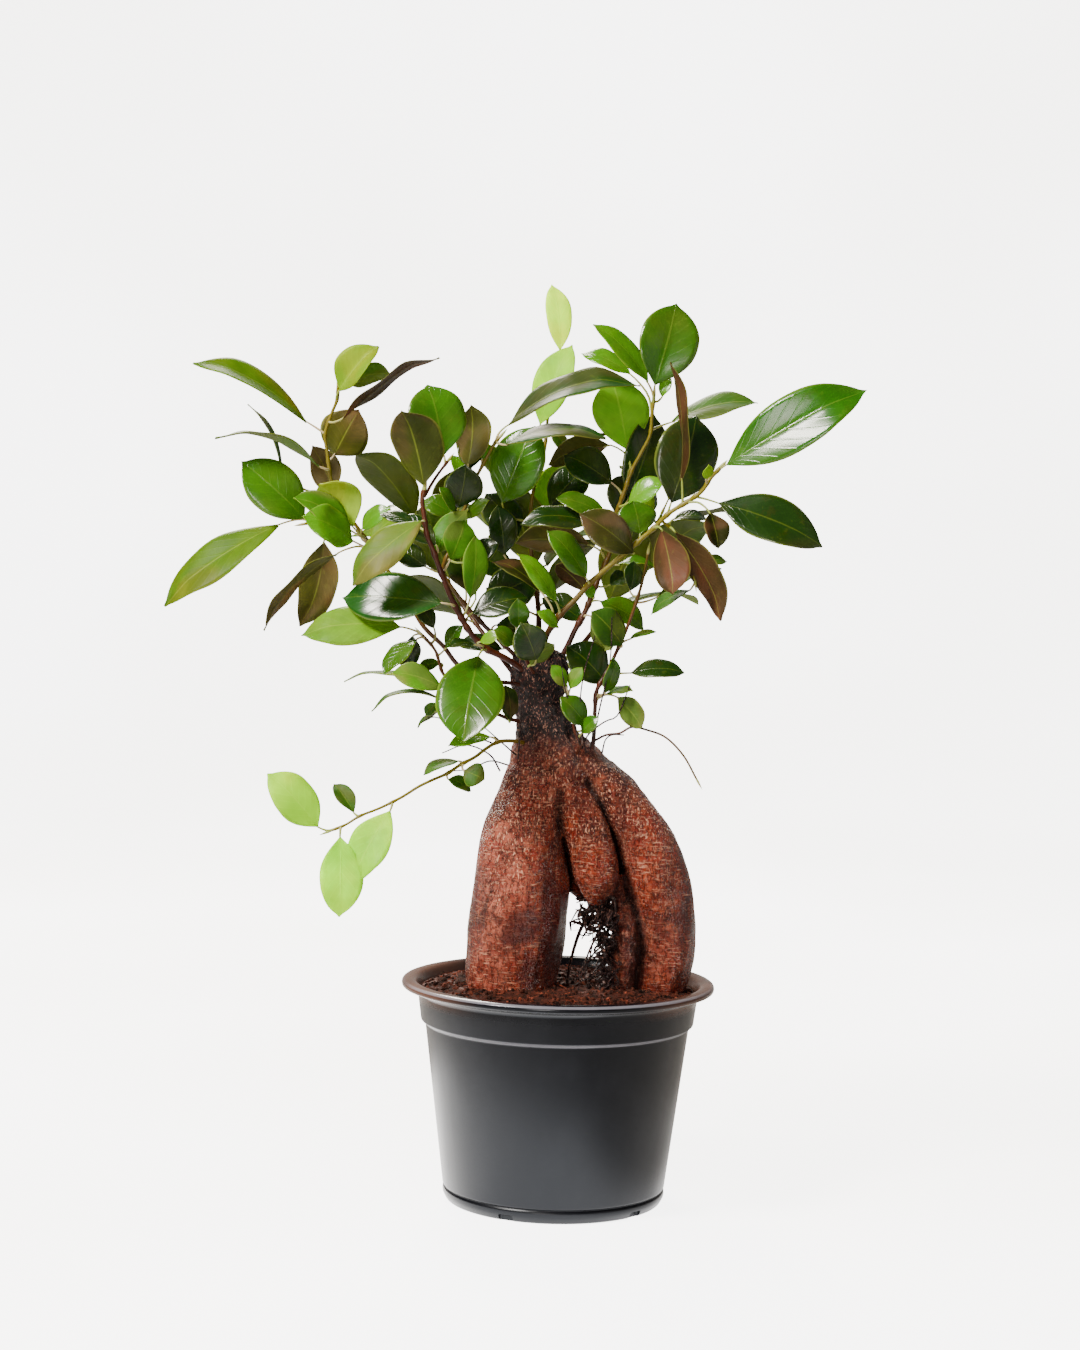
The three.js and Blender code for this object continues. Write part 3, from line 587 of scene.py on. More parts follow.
def stage_finish(colour, brightness):
    """Matt paper that the picture sees brightly lit, without lighting the plant any more.

    Gloss on the pot mirrors only the paper close by, and less of it to the right.
    """
    make = Finish("stage_paper")
    across, depth, _ = make.axes()
    base = make.mix(make.band(make.noise(1.3, 2), 0.3, 0.7), colour, "#f9f8f8")
    behind = depth - 0.05
    beside = across + 0.03
    near = 1 - make.band(make.math("SQRT", behind * behind + beside * beside), 0.165, 0.245)
    left = 1 - make.band(across, 0.02, 0.1) * 0.85
    mirrored = make.read("ShaderNodeLightPath", "Is Glossy Ray") * (near * left * 0.95 + 0.012)
    share = make.read("ShaderNodeLightPath", "Is Camera Ray") + mirrored
    matt = make.read("ShaderNodeBsdfDiffuse", 0, Color=make.mix(0.55, base, (0.05, 0.05, 0.05, 1)))
    bright = make.read("ShaderNodeEmission", 0, Color=base, Strength=share * brightness)
    return make.done(make.read_from("ShaderNodeAddShader", 0, {0: matt, 1: bright}))


# The crown, as the front view shows it: each stem's twigs, and its leaves with the tone of each.


def twig(start, end, points):
    """A stem or side twig through the seen places, with its radius at the start and at the tip."""
    return {"points": [seen(point) for point in points], "start": start * MM, "end": end * MM}


# A leaf's usual bow, as a share of its length, and how far each half usually folds up, in degrees.
USUAL_BOW = 0.08
USUAL_FOLD = 14


def leaf(tone, base, tip, width, roll, bow=USUAL_BOW, fold=USUAL_FOLD):
    """A leaf from the end of its stalk to its tip.

    Roll turns its upper face from the front (0), up to edge-on (90) and on to its underside (180).
    Bow lifts its middle, as a share of its length, and fold is the angle of each half to the midrib.
    """
    start = seen(base)
    end = seen(tip)
    along = (end - start).normalized()
    to_eye = (Vector((0, -1, 0)) + along * along.y).normalized()
    side = along.cross(to_eye)
    if side.x * 0.35 + side.z < 0:
        side.negate()
    turn = math.radians(roll)
    face = to_eye * math.cos(turn) + side * math.sin(turn)
    return {
        "tone": tone, "start": start, "end": end, "width": width * MM, "face": face, "bow": bow, "fold": fold
    }


# Each stem's twigs: the radius at the start and at the tip, and the seen places between them.
TWIGS = {
    "stem_left_upright": [
        (1.3, 0.75, [
            (-13, 246, 0), (-22, 249, -1), (-31, 254, -2), (-41, 259.5, -2), (-51, 267, -2),
            (-57, 275, -1), (-67, 285, 0), (-75, 298, 2), (-87, 316, 4), (-99, 333, 6), (-109, 347, 6),
            (-113, 357, 6), (-115.5, 373, 5), (-116.5, 381, 5), (-113.5, 391, 5), (-110.5, 398.5, 5),
            (-110, 406, 5),
        ]),
        (0.8, 0.65, [(-106, 343, 6), (-117, 338.5, 1), (-127, 336.5, -4)]),
    ],
    "stem_left_fan": [
        (1.1, 0.65, [
            (-14, 255, -6), (-24, 257, -10), (-40, 258, -14), (-56, 260, -18), (-61.5, 273.5, -20),
            (-68, 281, -21),
        ]),
    ],
    "stem_left_low": [
        (1, 0.65, [
            (-15, 237, -4), (-24, 239, -10), (-34, 243, -17), (-46, 248, -25), (-56, 252, -31),
            (-62, 256, -35),
        ]),
    ],
    "stem_left_hanging": [
        (1, 0.6, [
            (-13, 226, -6), (-22, 228, -12), (-30, 227.5, -17), (-35.5, 224.5, -20), (-41.5, 220, -22),
            (-49, 216, -24), (-55, 212, -26), (-64, 208, -28), (-70, 205, -29), (-78, 200, -31),
            (-89, 194.5, -33), (-99, 190.5, -35), (-106.5, 186, -36), (-114, 183, -37),
        ]),
    ],
    "stem_dark_left": [
        (1.7, 1.1, [
            (-13, 258, -4), (-19, 264.5, -9), (-26.5, 269.5, -13), (-36.5, 274.5, -17), (-44, 282.5, -20),
            (-50, 292.5, -23), (-54, 301, -25), (-58, 311, -27), (-62.5, 323.5, -29), (-65.5, 331, -30),
            (-67, 341, -31), (-68, 348.5, -32), (-67, 353.5, -32),
        ]),
        (0.85, 0.65, [(-67, 350, -31), (-61, 360, -27), (-55, 368, -23)]),
    ],
    "stem_centre_left": [
        (1.25, 0.75, [
            (-13, 260, 5), (-20, 269, 7), (-29, 278, 8), (-40, 289, 9), (-51, 302, 9), (-57.5, 312.5, 9),
            (-56.5, 318, 8), (-51.5, 328, 8), (-49, 338.5, 7), (-46, 346, 6), (-44, 353.5, 6),
            (-39, 363.5, 6), (-35, 371, 5), (-31.5, 377, 5), (-29, 380, 5),
        ]),
    ],
    "stem_top": [
        (1.25, 0.7, [
            (-8, 264, 10), (-9, 275, 14), (-9.5, 290, 19), (-12, 310, 23), (-14, 335, 26), (-12, 355, 28),
            (-7, 372, 31), (-5, 390, 36), (-2, 405, 39), (1, 417, 40),
        ]),
    ],
    "stem_right_upright": [
        (1.5, 0.75, [
            (-3, 263, 3), (1, 269, 3.5), (4.5, 275, 4), (8.5, 283.5, 4), (13.5, 292.5, 4), (17, 301, 4),
            (21, 311, 4), (24, 317.5, 4), (27, 326, 4), (28, 336, 4), (30, 343.5, 3), (33.5, 353.5, 2),
            (37, 363.5, 2), (41, 371, 1), (46, 381, 0), (47, 391, 0), (48, 400, 0),
        ]),
    ],
    "stem_right_long": [
        (1.6, 0.9, [
            (-5, 262, -6), (-5.5, 270, -9), (-6.5, 278.5, -10), (1, 291, -12), (8.5, 298.5, -13),
            (16, 307, -14), (23.5, 313.5, -16), (41, 328.5, -20), (48.5, 335, -22), (55, 341.5, -24),
            (66, 348.5, -26), (72, 353, -28), (76, 359, -29), (81, 364.5, -30),
        ]),
        (0.75, 0.6, [(52, 338, -23), (61, 330, -19), (67, 318, -17), (68.5, 308, -17)]),
    ],
    "stem_right_low": [
        (1.15, 0.65, [
            (13, 217, -2), (17, 224, -6), (18, 232, -8), (18.5, 244, -9), (19.5, 253.5, -9),
            (25, 263.5, -8), (28.5, 271, -8), (32, 278.5, -10), (36, 288.5, -12), (41, 303.5, -11),
            (43.5, 313.5, -10), (45, 322, -9),
        ]),
        (0.6, 0.5, [
            (18, 228, -7), (24, 231, -8), (31, 232, -9), (37, 235, -10), (44.5, 233.5, -11),
            (53.5, 230, -12), (62.5, 221, -13), (69.5, 208.5, -14),
        ]),
    ],
    "stem_right_shoulder": [
        (0.9, 0.6, [(8, 219, -9), (11, 226, -14), (8, 234.5, -16), (7, 243.5, -17), (4.5, 251, -18)]),
    ],
    "stem_centre_front": [
        (1, 0.65, [(-10, 259, -9), (-14, 265, -15), (-18, 273, -19), (-20, 281, -21)]),
    ],
}

# Each stem's leaves: the tone, the end of the stalk and the tip as they are seen, the width, the roll,
# and the bow and the fold where they aren't the usual ones.
LEAVES = {
    "stem_left_upright": [
        ("fresh", (-125.5, 387.5, 4), (-181, 419.5, -8), 22, 62),
        ("olive", (-119, 365, 1), (-170.5, 382.5, -18), 22, 98, 0.1),
        ("olive", (-138, 362, 15), (-154, 397, 22), 12, 84),
        ("mid", (-126.5, 339, -3), (-158, 368, -10), 27, 18),
        ("bronze", (-112, 371, 12), (-100, 393, 24), 27, 170, 0.1),
        ("bronze", (-112, 352, 15), (-122, 375, 27), 17, 165),
        ("young", (-109.5, 403, 2), (-91, 426, -4), 24, 28, 0.05, 38),
        ("olive", (-106, 408, 11), (-84, 412, 25), 15, 140),
        ("rust", (-108, 389, 0), (-62, 423.5, -6), 20, 102, 0.03),
        ("pale", (-102.5, 335, -5), (-119, 357, -11), 26, 160, 0.1),
        ("mint", (-104, 333.5, -9), (-131.5, 350.5, -24), 22, 52),
        ("bright", (-102.5, 328, -12), (-126, 341, -32), 22, 40),
        ("fresh", (-140, 336, -6), (-198, 297, -14), 26, 42, 0.06),
        ("bronze", (-117, 328, 5), (-127.5, 285.5, 13), 24, 150, 0.1),
        ("bronze", (-110, 322, -4), (-148.5, 284.5, -14), 19, 105),
        ("bright", (-98, 334, -4), (-85, 345, -12), 12, 38),
        ("young", (-94, 329, 11), (-78, 341, 17), 14, 40),
    ],
    "stem_left_fan": [
        ("pale", (-78, 285, -16), (-128.5, 282.5, -20), 25, 42),
        ("mid", (-70.5, 279, -24), (-87.5, 262, -34), 14, 50),
        ("dark", (-72.5, 280.5, -15), (-77, 264, -10), 12, 30),
        ("dark", (-62, 284.5, -14), (-70, 296, -12), 10, 35),
        ("mid", (-56, 274.5, -20), (-48, 286, -22), 9, 30),
        ("olive", (-59, 267, -14), (-70, 264, -10), 8, 40),
    ],
    "stem_left_low": [
        ("mint", (-58, 254.5, -38), (-83, 262.5, -46), 17, 48),
        ("mint", (-70, 259, -20), (-107, 259.5, -12), 12, 82),
        ("olive", (-60, 249.5, -36), (-93.5, 245.5, -44), 13, 84, 0.14),
        ("olive", (-60.5, 247, -30), (-66.5, 241, -28), 6, 20),
        ("olive", (-58, 243.5, -26), (-70.5, 235, -22), 10, 76),
        ("umber", (-24, 238, -16), (-26, 256, -21), 11, 40),
    ],
    "stem_left_hanging": [
        ("bright", (-34, 230, -20), (-55, 226, -26), 10, 50),
        ("olive", (-50, 218, -25), (-67.5, 212, -32), 9, 58),
        ("olive", (-47, 213, -27), (-37, 209, -31), 13, 20),
        ("olive", (-55, 209, -24), (-43, 203.5, -21), 9, 48),
        ("lime", (-120, 185, -38), (-144.5, 212, -44), 22, 26),
        ("lime", (-109, 180, -40), (-109, 140, -46), 22, 15, 0.06),
        ("lime", (-84, 193, -34), (-103, 157.5, -44), 22, 24, 0.06),
        ("olive", (-102, 192, -32), (-112, 207, -26), 12, 30, 0.05, 38),
    ],
    "stem_dark_left": [
        ("umber", (-67, 356, -33), (-77.5, 394, -46), 30, 158, 0.08, 24),
        ("mid", (-57, 371, -21), (-65, 406.5, -15), 31, 20),
        ("patchy", (-68, 338, -33), (-103.5, 307, -38), 21, 28),
        ("dark", (-61, 326, -23), (-80, 340.5, -16), 14, 30),
        ("wet", (-58, 297, -31), (-108.5, 300.5, -15), 27, 27, 0.04, 9),
        ("mint", (-54, 318.5, -22), (-46.5, 338.5, -16), 18, 24),
        ("mint", (-44, 299.5, -19), (-41, 331, -22), 14, 28),
        ("dark", (-43, 292, -14), (-15, 300, -12), 18, 34),
        ("bright", (-39, 277.5, -23), (-28, 281.5, -28), 7, 30),
        ("mid", (-40, 270, -27), (-47.5, 227.5, -56), 34, -5, 0.06, 10),
        ("dark", (-42, 276, -30), (-54, 276, -42), 8, 55),
        ("dark", (-66, 315, -24), (-82, 325, -20), 14, 30),
        ("dark", (-72, 336, -26), (-89, 342, -21), 10, 50),
    ],
    "stem_centre_left": [
        ("arch", (-25, 386, 5), (39.5, 409.5, -3), 25, 58, 0.12),
        ("arch", (-26, 376, 2), (23.5, 381.5, -9), 20, 66, 0.1),
        ("bronze", (-45, 365.5, 2), (-43, 396, 8), 22, 150),
        ("dark", (-50, 344.5, 1), (-46, 366, -4), 21, 22),
        ("mid", (-53, 341, 12), (-67, 349, 14), 14, 40),
        ("mid", (-52, 342.5, -5), (-59, 355, -10), 8, 50),
        ("bright", (-47, 358, 12), (-53, 371, 14), 8, 30),
        ("bright", (-38, 369, 9), (-36, 378, 12), 6, 30),
        ("mid", (-47, 339, 3), (-34.5, 348.5, -4), 10, 45),
        ("dark", (-44, 318, 4), (-30, 327, -2), 15, 35),
        ("dark", (-44, 364, 11), (-45.5, 380, 17), 14, 24),
        ("mint", (-45.5, 343, -4), (-62, 322, -11), 17, 30),
        ("umber", (-46, 303, 15), (-51, 326, 21), 19, 24),
        ("dark", (-36, 297, 14), (-11, 310, 17), 25, 24),
        ("dark", (-31, 286, 13), (-12, 281, 16), 17, 26),
        ("dark", (-28, 274, 14), (-50, 277, 17), 13, 48),
    ],
    "stem_top": [
        ("lime_painted_glow", (1, 423.5, 39), (-2.5, 456.5, 38), 15, 24),
        ("lime", (-9, 386, 30), (6.5, 426.5, 32), 21, 20),
        ("mid", (-28, 347, 21), (-11.5, 385.5, 17), 29, 14),
        ("olive", (-4, 385, 24), (5, 371, 24), 9, 40),
        ("dark", (-20, 330, 26), (-36, 352, 30), 22, 25),
        ("dark", (-4, 345, 30), (14, 364, 36), 22, 30),
        ("dark", (-22, 310, 26), (-44, 322, 30), 20, 40),
        ("dark", (-27, 321, 15), (-30, 346, 10), 16, 20),
        ("dark", (-17, 294, 25), (-36, 305, 31), 18, 40),
    ],
    "stem_right_upright": [
        ("bright", (36, 411.5, 7), (12, 423, 13), 14, 46),
        ("bright", (45, 407, -3), (18.5, 437, -9), 17, 48),
        ("mid", (48.5, 406, 1), (59.5, 447, 5), 32, 8, 0.06, 20),
        ("leaf_green", (34.5, 374, 12), (27, 409.5, 16), 30, 12),
        ("olive", (57, 387.5, 5), (99.5, 398, -3), 20, 54),
        ("dark", (35, 349, 12), (48.5, 391.5, 20), 24, 20),
        ("mid", (24, 340.5, 0), (-0.5, 350, -6), 14, 42),
        ("bright", (35, 347, -2), (53, 358.5, -8), 14, 38),
        ("dark", (27, 357, 9), (3, 371.5, 12), 21, 24),
        ("bronze", (26, 376, 22), (-5.5, 367.5, 17), 18, 138),
        ("mid", (21, 298, 3), (43.5, 285, 1), 18, 46),
        ("bright", (18, 300, 0), (13, 306, -4), 7, 30),
        ("dark", (26, 306, 8), (36, 311, 12), 11, 40),
        ("mid", (30, 316, 3), (48.5, 316, 4), 12, 70, 0.12),
        ("olive", (17, 290, 0), (27.5, 273.5, -6), 17, 155),
        ("rust", (14, 303, 0), (-1, 317, -6), 13, 150),
        ("dark", (18, 336, 0), (-18, 338.5, -10), 17, 48, 0.12),
        ("bronze", (16, 326, 6), (-22, 328, 4), 20, 140),
        ("bright", (52, 400, 3), (56, 410, 6), 7, 30),
        ("dark", (12, 288, 8), (-8, 300, 12), 16, 40),
        ("dark", (29, 341, 11), (33, 361, 18), 17, 20),
    ],
    "stem_right_long": [
        ("wet_bright", (84, 366, -31), (153, 405.5, -46), 30, 19, 0.03, 18),
        ("dark", (80, 347, -28), (132.5, 326, -36), 26, 26, 0.08),
        ("young", (74, 359, -33), (75.5, 366, -38), 6, 30),
        ("rust", (76, 342, -34), (80.5, 324.5, -40), 16, 24, 0.05, 34),
        ("dark", (58, 339, -18), (75, 339.5, -14), 12, 62),
        ("rust", (52, 333.5, -27), (58, 301, -37), 20, 158),
        ("rust", (58.5, 332.5, -25), (83, 289, -26), 20, 138),
        ("olive", (69, 315.5, -13), (84.5, 318.5, -9), 10, 56),
        ("olive", (66, 303.5, -15), (46, 292.5, -19), 10, 56),
        ("rust", (62, 358, -28), (58, 417.5, -34), 20, 101, 0.04),
        ("dark", (56.5, 347, -18), (70, 391, -13), 33, 14, 0.06),
        ("mid", (41, 331.5, -15), (37.5, 348, -12), 21, 20),
        ("sheen", (38, 322, -23), (11, 342, -30), 21, 26),
        ("mid", (14, 309.5, -19), (-4.5, 333.5, -26), 16, 36),
        ("bright", (-1, 297.5, -16), (-19.5, 322, -24), 13, 46),
        ("bright", (0, 285, -15), (-10, 293, -20), 8, 30),
        ("rust", (-9, 303, -9), (-32, 319, -8), 16, 60),
    ],
    "stem_right_low": [
        ("dark", (36, 262, -8), (63, 263, -12), 14, 52),
        ("olive", (29.5, 250, -12), (42.5, 234.5, -18), 14, 150),
        ("olive", (24, 251.5, -12), (37.5, 253.5, -17), 9, 70),
        ("mid", (23.5, 252, -14), (28.5, 269.5, -17), 10, 36),
        ("dark", (24, 257, -4), (5, 276, -5), 23, 30),
        ("dark", (36, 303, -9), (38, 318, -6), 11, 30),
        ("olive", (32, 276, -12), (17, 293, -18), 20, 30),
        ("olive", (50, 300, -5), (81, 316, -3), 12, 66),
        ("olive", (36, 279, -8), (49, 283, -5), 6, 60),
    ],
    "stem_right_shoulder": [
        ("mid", (14, 236, -17), (1.5, 250, -22), 14, 30),
        ("mint", (4, 255, -19), (-3, 266, -22), 8, 20),
        ("mint", (6, 254, -18), (12, 265, -19), 8, 24),
        ("mid", (12, 232, -18), (20, 240, -23), 9, 40),
    ],
    "stem_centre_front": [
        ("mid", (-20, 284, -22), (-20, 299, -26), 11, 12),
        ("dark", (-11, 268.5, -21), (-18, 286.5, -31), 19, 18),
        ("mid", (-22, 276, -24), (-32, 284, -30), 10, 36),
        ("olive", (-14, 266, -20), (-2, 277, -24), 11, 150),
    ],
}

LEAFY_STEMS = {
    name: ([twig(*one) for one in TWIGS[name]], [leaf(*one) for one in leaves])
    for name, leaves in LEAVES.items()
}

# The stems behind the crown carry their leaves by a rule: round the stem by the golden angle, from the
# turn that stands after each stem's seen places.
GOLDEN_ANGLE = math.radians(137.5)
BACK_STEMS = {
    "stem_back_left": ([(-17, 255, 9), (-27, 268, 20), (-42, 288, 34), (-57, 310, 46), (-66, 334, 56)], 3),
    "stem_back_centre": ([(-9, 258, 13), (-10, 275, 28), (-10, 298, 48), (-12, 322, 64), (-14, 346, 76)], 12),
    "stem_back_right": ([(-1, 256, 11), (9, 272, 24), (26, 294, 40), (41, 318, 52), (52, 342, 61)], 30.5),
}
BACK_LEAVES = 9
# The leaves behind the crown take mostly dark and mid tones, as painted shade.
BACK_TONES = ("dark", "mid", "dark", "olive", "mid", "bright")
BARE_SHARE = 0.42
BACK_STALK = 9
SHORTEST_BACK_LEAF = 36
LONGEST_BACK_LEAF = 52


def ruled_leaves(path, first_turn):
    """Leaves set round a stem by the golden angle, above its bare share."""
    steps = 200
    fine = smooth_path([seen(place) for place in path], steps)
    up = Vector((0, 0, 1))
    leaves = []
    for i in range(BACK_LEAVES):
        at = round((BARE_SHARE + (1 - BARE_SHARE) * i / (BACK_LEAVES - 1)) * steps)
        tangent = (fine[min(at + 1, steps)] - fine[max(at - 1, 0)]).normalized()
        out = Quaternion(tangent, i * GOLDEN_ANGLE + first_turn) @ tangent.cross(up).normalized()
        along = (out * 0.8 + tangent * 0.6 + up * 0.15).normalized()
        length = SHORTEST_BACK_LEAF + (LONGEST_BACK_LEAF - SHORTEST_BACK_LEAF) * chance(first_turn + i)
        length *= MM
        start = fine[at] + along * BACK_STALK * MM
        face = tangent + up * 0.6
        face = (face - along * face.dot(along)).normalized()
        leaves.append({
            "tone": BACK_TONES[i % len(BACK_TONES)], "start": start, "end": start + along * length,
            "width": length * 0.58, "face": face, "bow": USUAL_BOW, "fold": USUAL_FOLD,
        })
    return leaves


for stem_name, (stem_path, first_turn) in BACK_STEMS.items():
    LEAFY_STEMS[stem_name] = ([twig(1.45, 0.7, stem_path)], ruled_leaves(stem_path, first_turn))

# Leaf tones: the colour of the upper face and of the underside, and then the brown or pink flush on some
# tones, which is partly their own colour and partly painted sheen, and how far it covers them.
TONES = {
    # The dark and mid tones are partly the leaves' own green and partly painted shade where a leaf stands in
    # the crown's shade.
    "dark": ("#1c3a0e", "#445616"),
    "mid": ("#386a08", "#607812"),
    "bright": ("#549004", "#84a80a"),
    "young": ("#6c9004", "#88a804"),
    "lime": ("#98d000", "#acdc00"),
    "bronze": ("#2e4410", "#4c4c1c", "#746048", 0.5),
    "umber": ("#24380c", "#3a4414", "#544630", 0.6),
    "olive": ("#3c6420", "#587434", "#6c5c38", 0.3),
    "rust": ("#2c300e", "#40301c", "#6c4838", 0.5),
    "mint": ("#4c8418", "#709828", "#7c7c50", 0.4),
    "fresh": ("#507400", "#6c9004", "#88742c", 0.3),
    "arch": ("#1c4c10", "#6c5c34", "#64503c", 0.35),
    # A pale lime made brighter still, as painted glow of light shining through the top leaf.
    "lime_painted_glow": ("#dcff24", "#e0ff30"),
    "wet": ("#1a5410", "#486a10"),
    "wet_bright": ("#2c6a04", "#7ca40c"),
    "sheen": ("#3c4018", "#5a4824", "#745a4c", 0.5),
    "leaf_green": ("#68a424", "#7c9c28"),
    "patchy": ("#5c7c24", "#8a7a3c", "#88704c", 0.5),
    "pale": ("#6c9c1c", "#84a028"),
}
USUAL_FLUSH_AND_SHEEN = ("#80704c", 0.08)

# The tones of full-grown leaves that shine. All others have little shine.
GLOSSY_TONES = ("dark", "mid", "bright", "wet", "wet_bright", "sheen")

# Where each stem's wood turns young: from and to which distance from the neck, and how far at most.
YOUNG_WOOD = {
    "stem_dark_left": (0.1, 0.2, 0.3),
    "stem_left_hanging": (0.0, 0.05, 0.8),
    "stem_right_long": (0.02, 0.1, 1.0),
}

# A blade's outline, as pairs of a share of its length and a share of its half width.
BLADE_OUTLINE = [
    (0, 0.02), (0.04, 0.15), (0.09, 0.33), (0.15, 0.52), (0.25, 0.77), (0.38, 0.95), (0.5, 1.0), (0.64, 0.97),
    (0.76, 0.82), (0.87, 0.55), (0.93, 0.31), (0.965, 0.13), (1, 0.012),
]

# The trunk's swollen roots and neck, from the top down: level rings, each given as it is seen
# (right, up, depth) with its half width and half depth.
SWOLLEN_ROOTS = {
    "neck": [
        (-9.5, 273, 1, 8, 8), (-9.5, 270, 1, 13, 12), (-9.5, 262, 1, 14.5, 13),
        (-9.5, 248, 1, 12.2, 12.5), (-7, 238, 1, 13.2, 13), (-5.5, 229, 1, 15.8, 15),
        (-4, 221, 1, 20, 17), (-2, 213, 0, 22, 18), (-3, 205, 0, 19, 17), (-5, 197, 0, 12, 13),
    ],
    "left_leg": [
        (-7, 224, 0, 12, 13), (-9, 214, -1, 16.8, 17), (-11.5, 205, -2, 17.5, 18.5),
        (-14.5, 197, -3, 17.6, 19.5), (-17.5, 189, -4, 18.6, 20.5), (-18.8, 180, -4, 20.5, 21.5),
        (-19, 168, -4, 22.5, 22.5), (-19, 157, -4, 24, 23), (-19.5, 146, -4, 24.5, 23.5),
        (-20.3, 135, -4, 24.3, 23.5), (-21.2, 124, -4, 24, 23), (-22.8, 113, -4, 23.2, 22),
        (-23.5, 103, -4, 22, 21), (-24, 92, -4, 17, 17), (-24, 80, -4, 10, 10), (-24, 72, -4, 4, 4),
    ],
    "right_leg": [
        (4, 233, 2, 6, 8), (8, 227, 2, 10, 12), (13, 219, 2, 13, 14), (21.5, 211, 2, 15.5, 15.5),
        (28.5, 203, 2, 15.3, 16.5), (35.5, 194, 2, 15, 17), (41.5, 183.5, 2, 15, 17.5),
        (46, 171, 2, 15.7, 17.5), (49, 160, 2, 16.2, 17.5), (51.5, 148, 2, 16.5, 17.5),
        (53.4, 136, 2, 15.8, 17), (53.7, 123.5, 2, 14.2, 16), (52, 112, 2, 14, 15.5),
        (50.5, 103, 2, 13.6, 15), (50, 92, 2, 11, 12), (49.5, 80, 2, 7, 8), (49.5, 74, 2, 3.5, 4),
    ],
    "middle_root": [
        (5, 208, -7, 8, 9), (9, 199, -9, 10, 10.5), (12.7, 188.5, -11, 11.2, 11),
        (15.5, 178.5, -11, 11.8, 11), (17.8, 168.5, -11, 11.9, 11), (19.3, 159, -11, 11, 10.5),
        (19.6, 151.5, -11, 7.8, 8), (18.8, 146, -11, 3.2, 4),
    ],
    "root_web": [
        (6, 212, 4, 9, 9), (10, 201, 5, 13, 10), (13.5, 189, 6, 15.5, 10), (16, 176, 7, 17, 10),
        (17.5, 163, 7, 17, 9.5), (18, 153.5, 6, 14.5, 8), (18, 148, 5, 8, 5),
    ],
    "side_root": [
        (29, 162, -5, 3, 5), (30, 151, -6, 4, 6), (33, 140, -6, 6, 8), (34, 128.5, -6, 7.2, 9),
        (33.5, 118, -6, 6.8, 9), (32.5, 108, -6, 6, 9), (32.5, 97, -6, 4.5, 7), (32.5, 88, -6, 2.5, 3),
    ],
}

# The fine roots in the gap between the legs: seen places, and the radius at the start in millimetres.
FINE_ROOTS = [
    ([[19, 149, -11], [17, 141, -10], [12.5, 136, -9], [8.5, 126, -8], [5, 111, -7], [4, 97, -7]], 1.0),
    ([[20, 149, -12], [21, 142, -12], [24, 136, -10], [30, 132, -8]], 1.6),
    ([[18, 149, -10], [15, 143, -8], [14, 138, -6], [19, 133, -5], [30, 130, -5]], 1.2),
]


# The pot.


def rounded(points, steps=4):
    """A profile with each corner (radius out, height, rounding) turned into a small arc."""
    out = [points[0][:2]]
    for before, (x, z, size), after in zip(points, points[1:-1], points[2:]):
        corner = Vector((x, z))
        way_in = Vector(before[:2]) - corner
        way_out = Vector(after[:2]) - corner
        a = corner + way_in.normalized() * min(size, way_in.length * 0.45)
        b = corner + way_out.normalized() * min(size, way_out.length * 0.45)
        for i in range(steps + 1):
            t = i / steps
            out.append(tuple(a * (1 - t) ** 2 + corner * 2 * t * (1 - t) + b * t * t))
    out.append(points[-1][:2])
    return out


def spin_profile(name, profile, steps):
    """A body turned about the upright axis from a profile that starts and ends on it."""
    points = [(x, 0, z) for x, z in profile]
    edges = [(i, i + 1) for i in range(len(points) - 1)]
    piece = new_piece(name, points, edges)
    bpy.ops.object.mode_set(mode="EDIT")
    bpy.ops.mesh.select_all(action="SELECT")
    bpy.ops.mesh.spin(steps=steps, angle=math.tau, center=(0, 0, 0), axis=(0, 0, 1))
    close_shell(1e-6)
    return piece


# A drain notch: how far it reaches inwards, its width, and its height on both sides of the floor.
NOTCH_SIZE = (0.008, 0.0076, 0.0066)


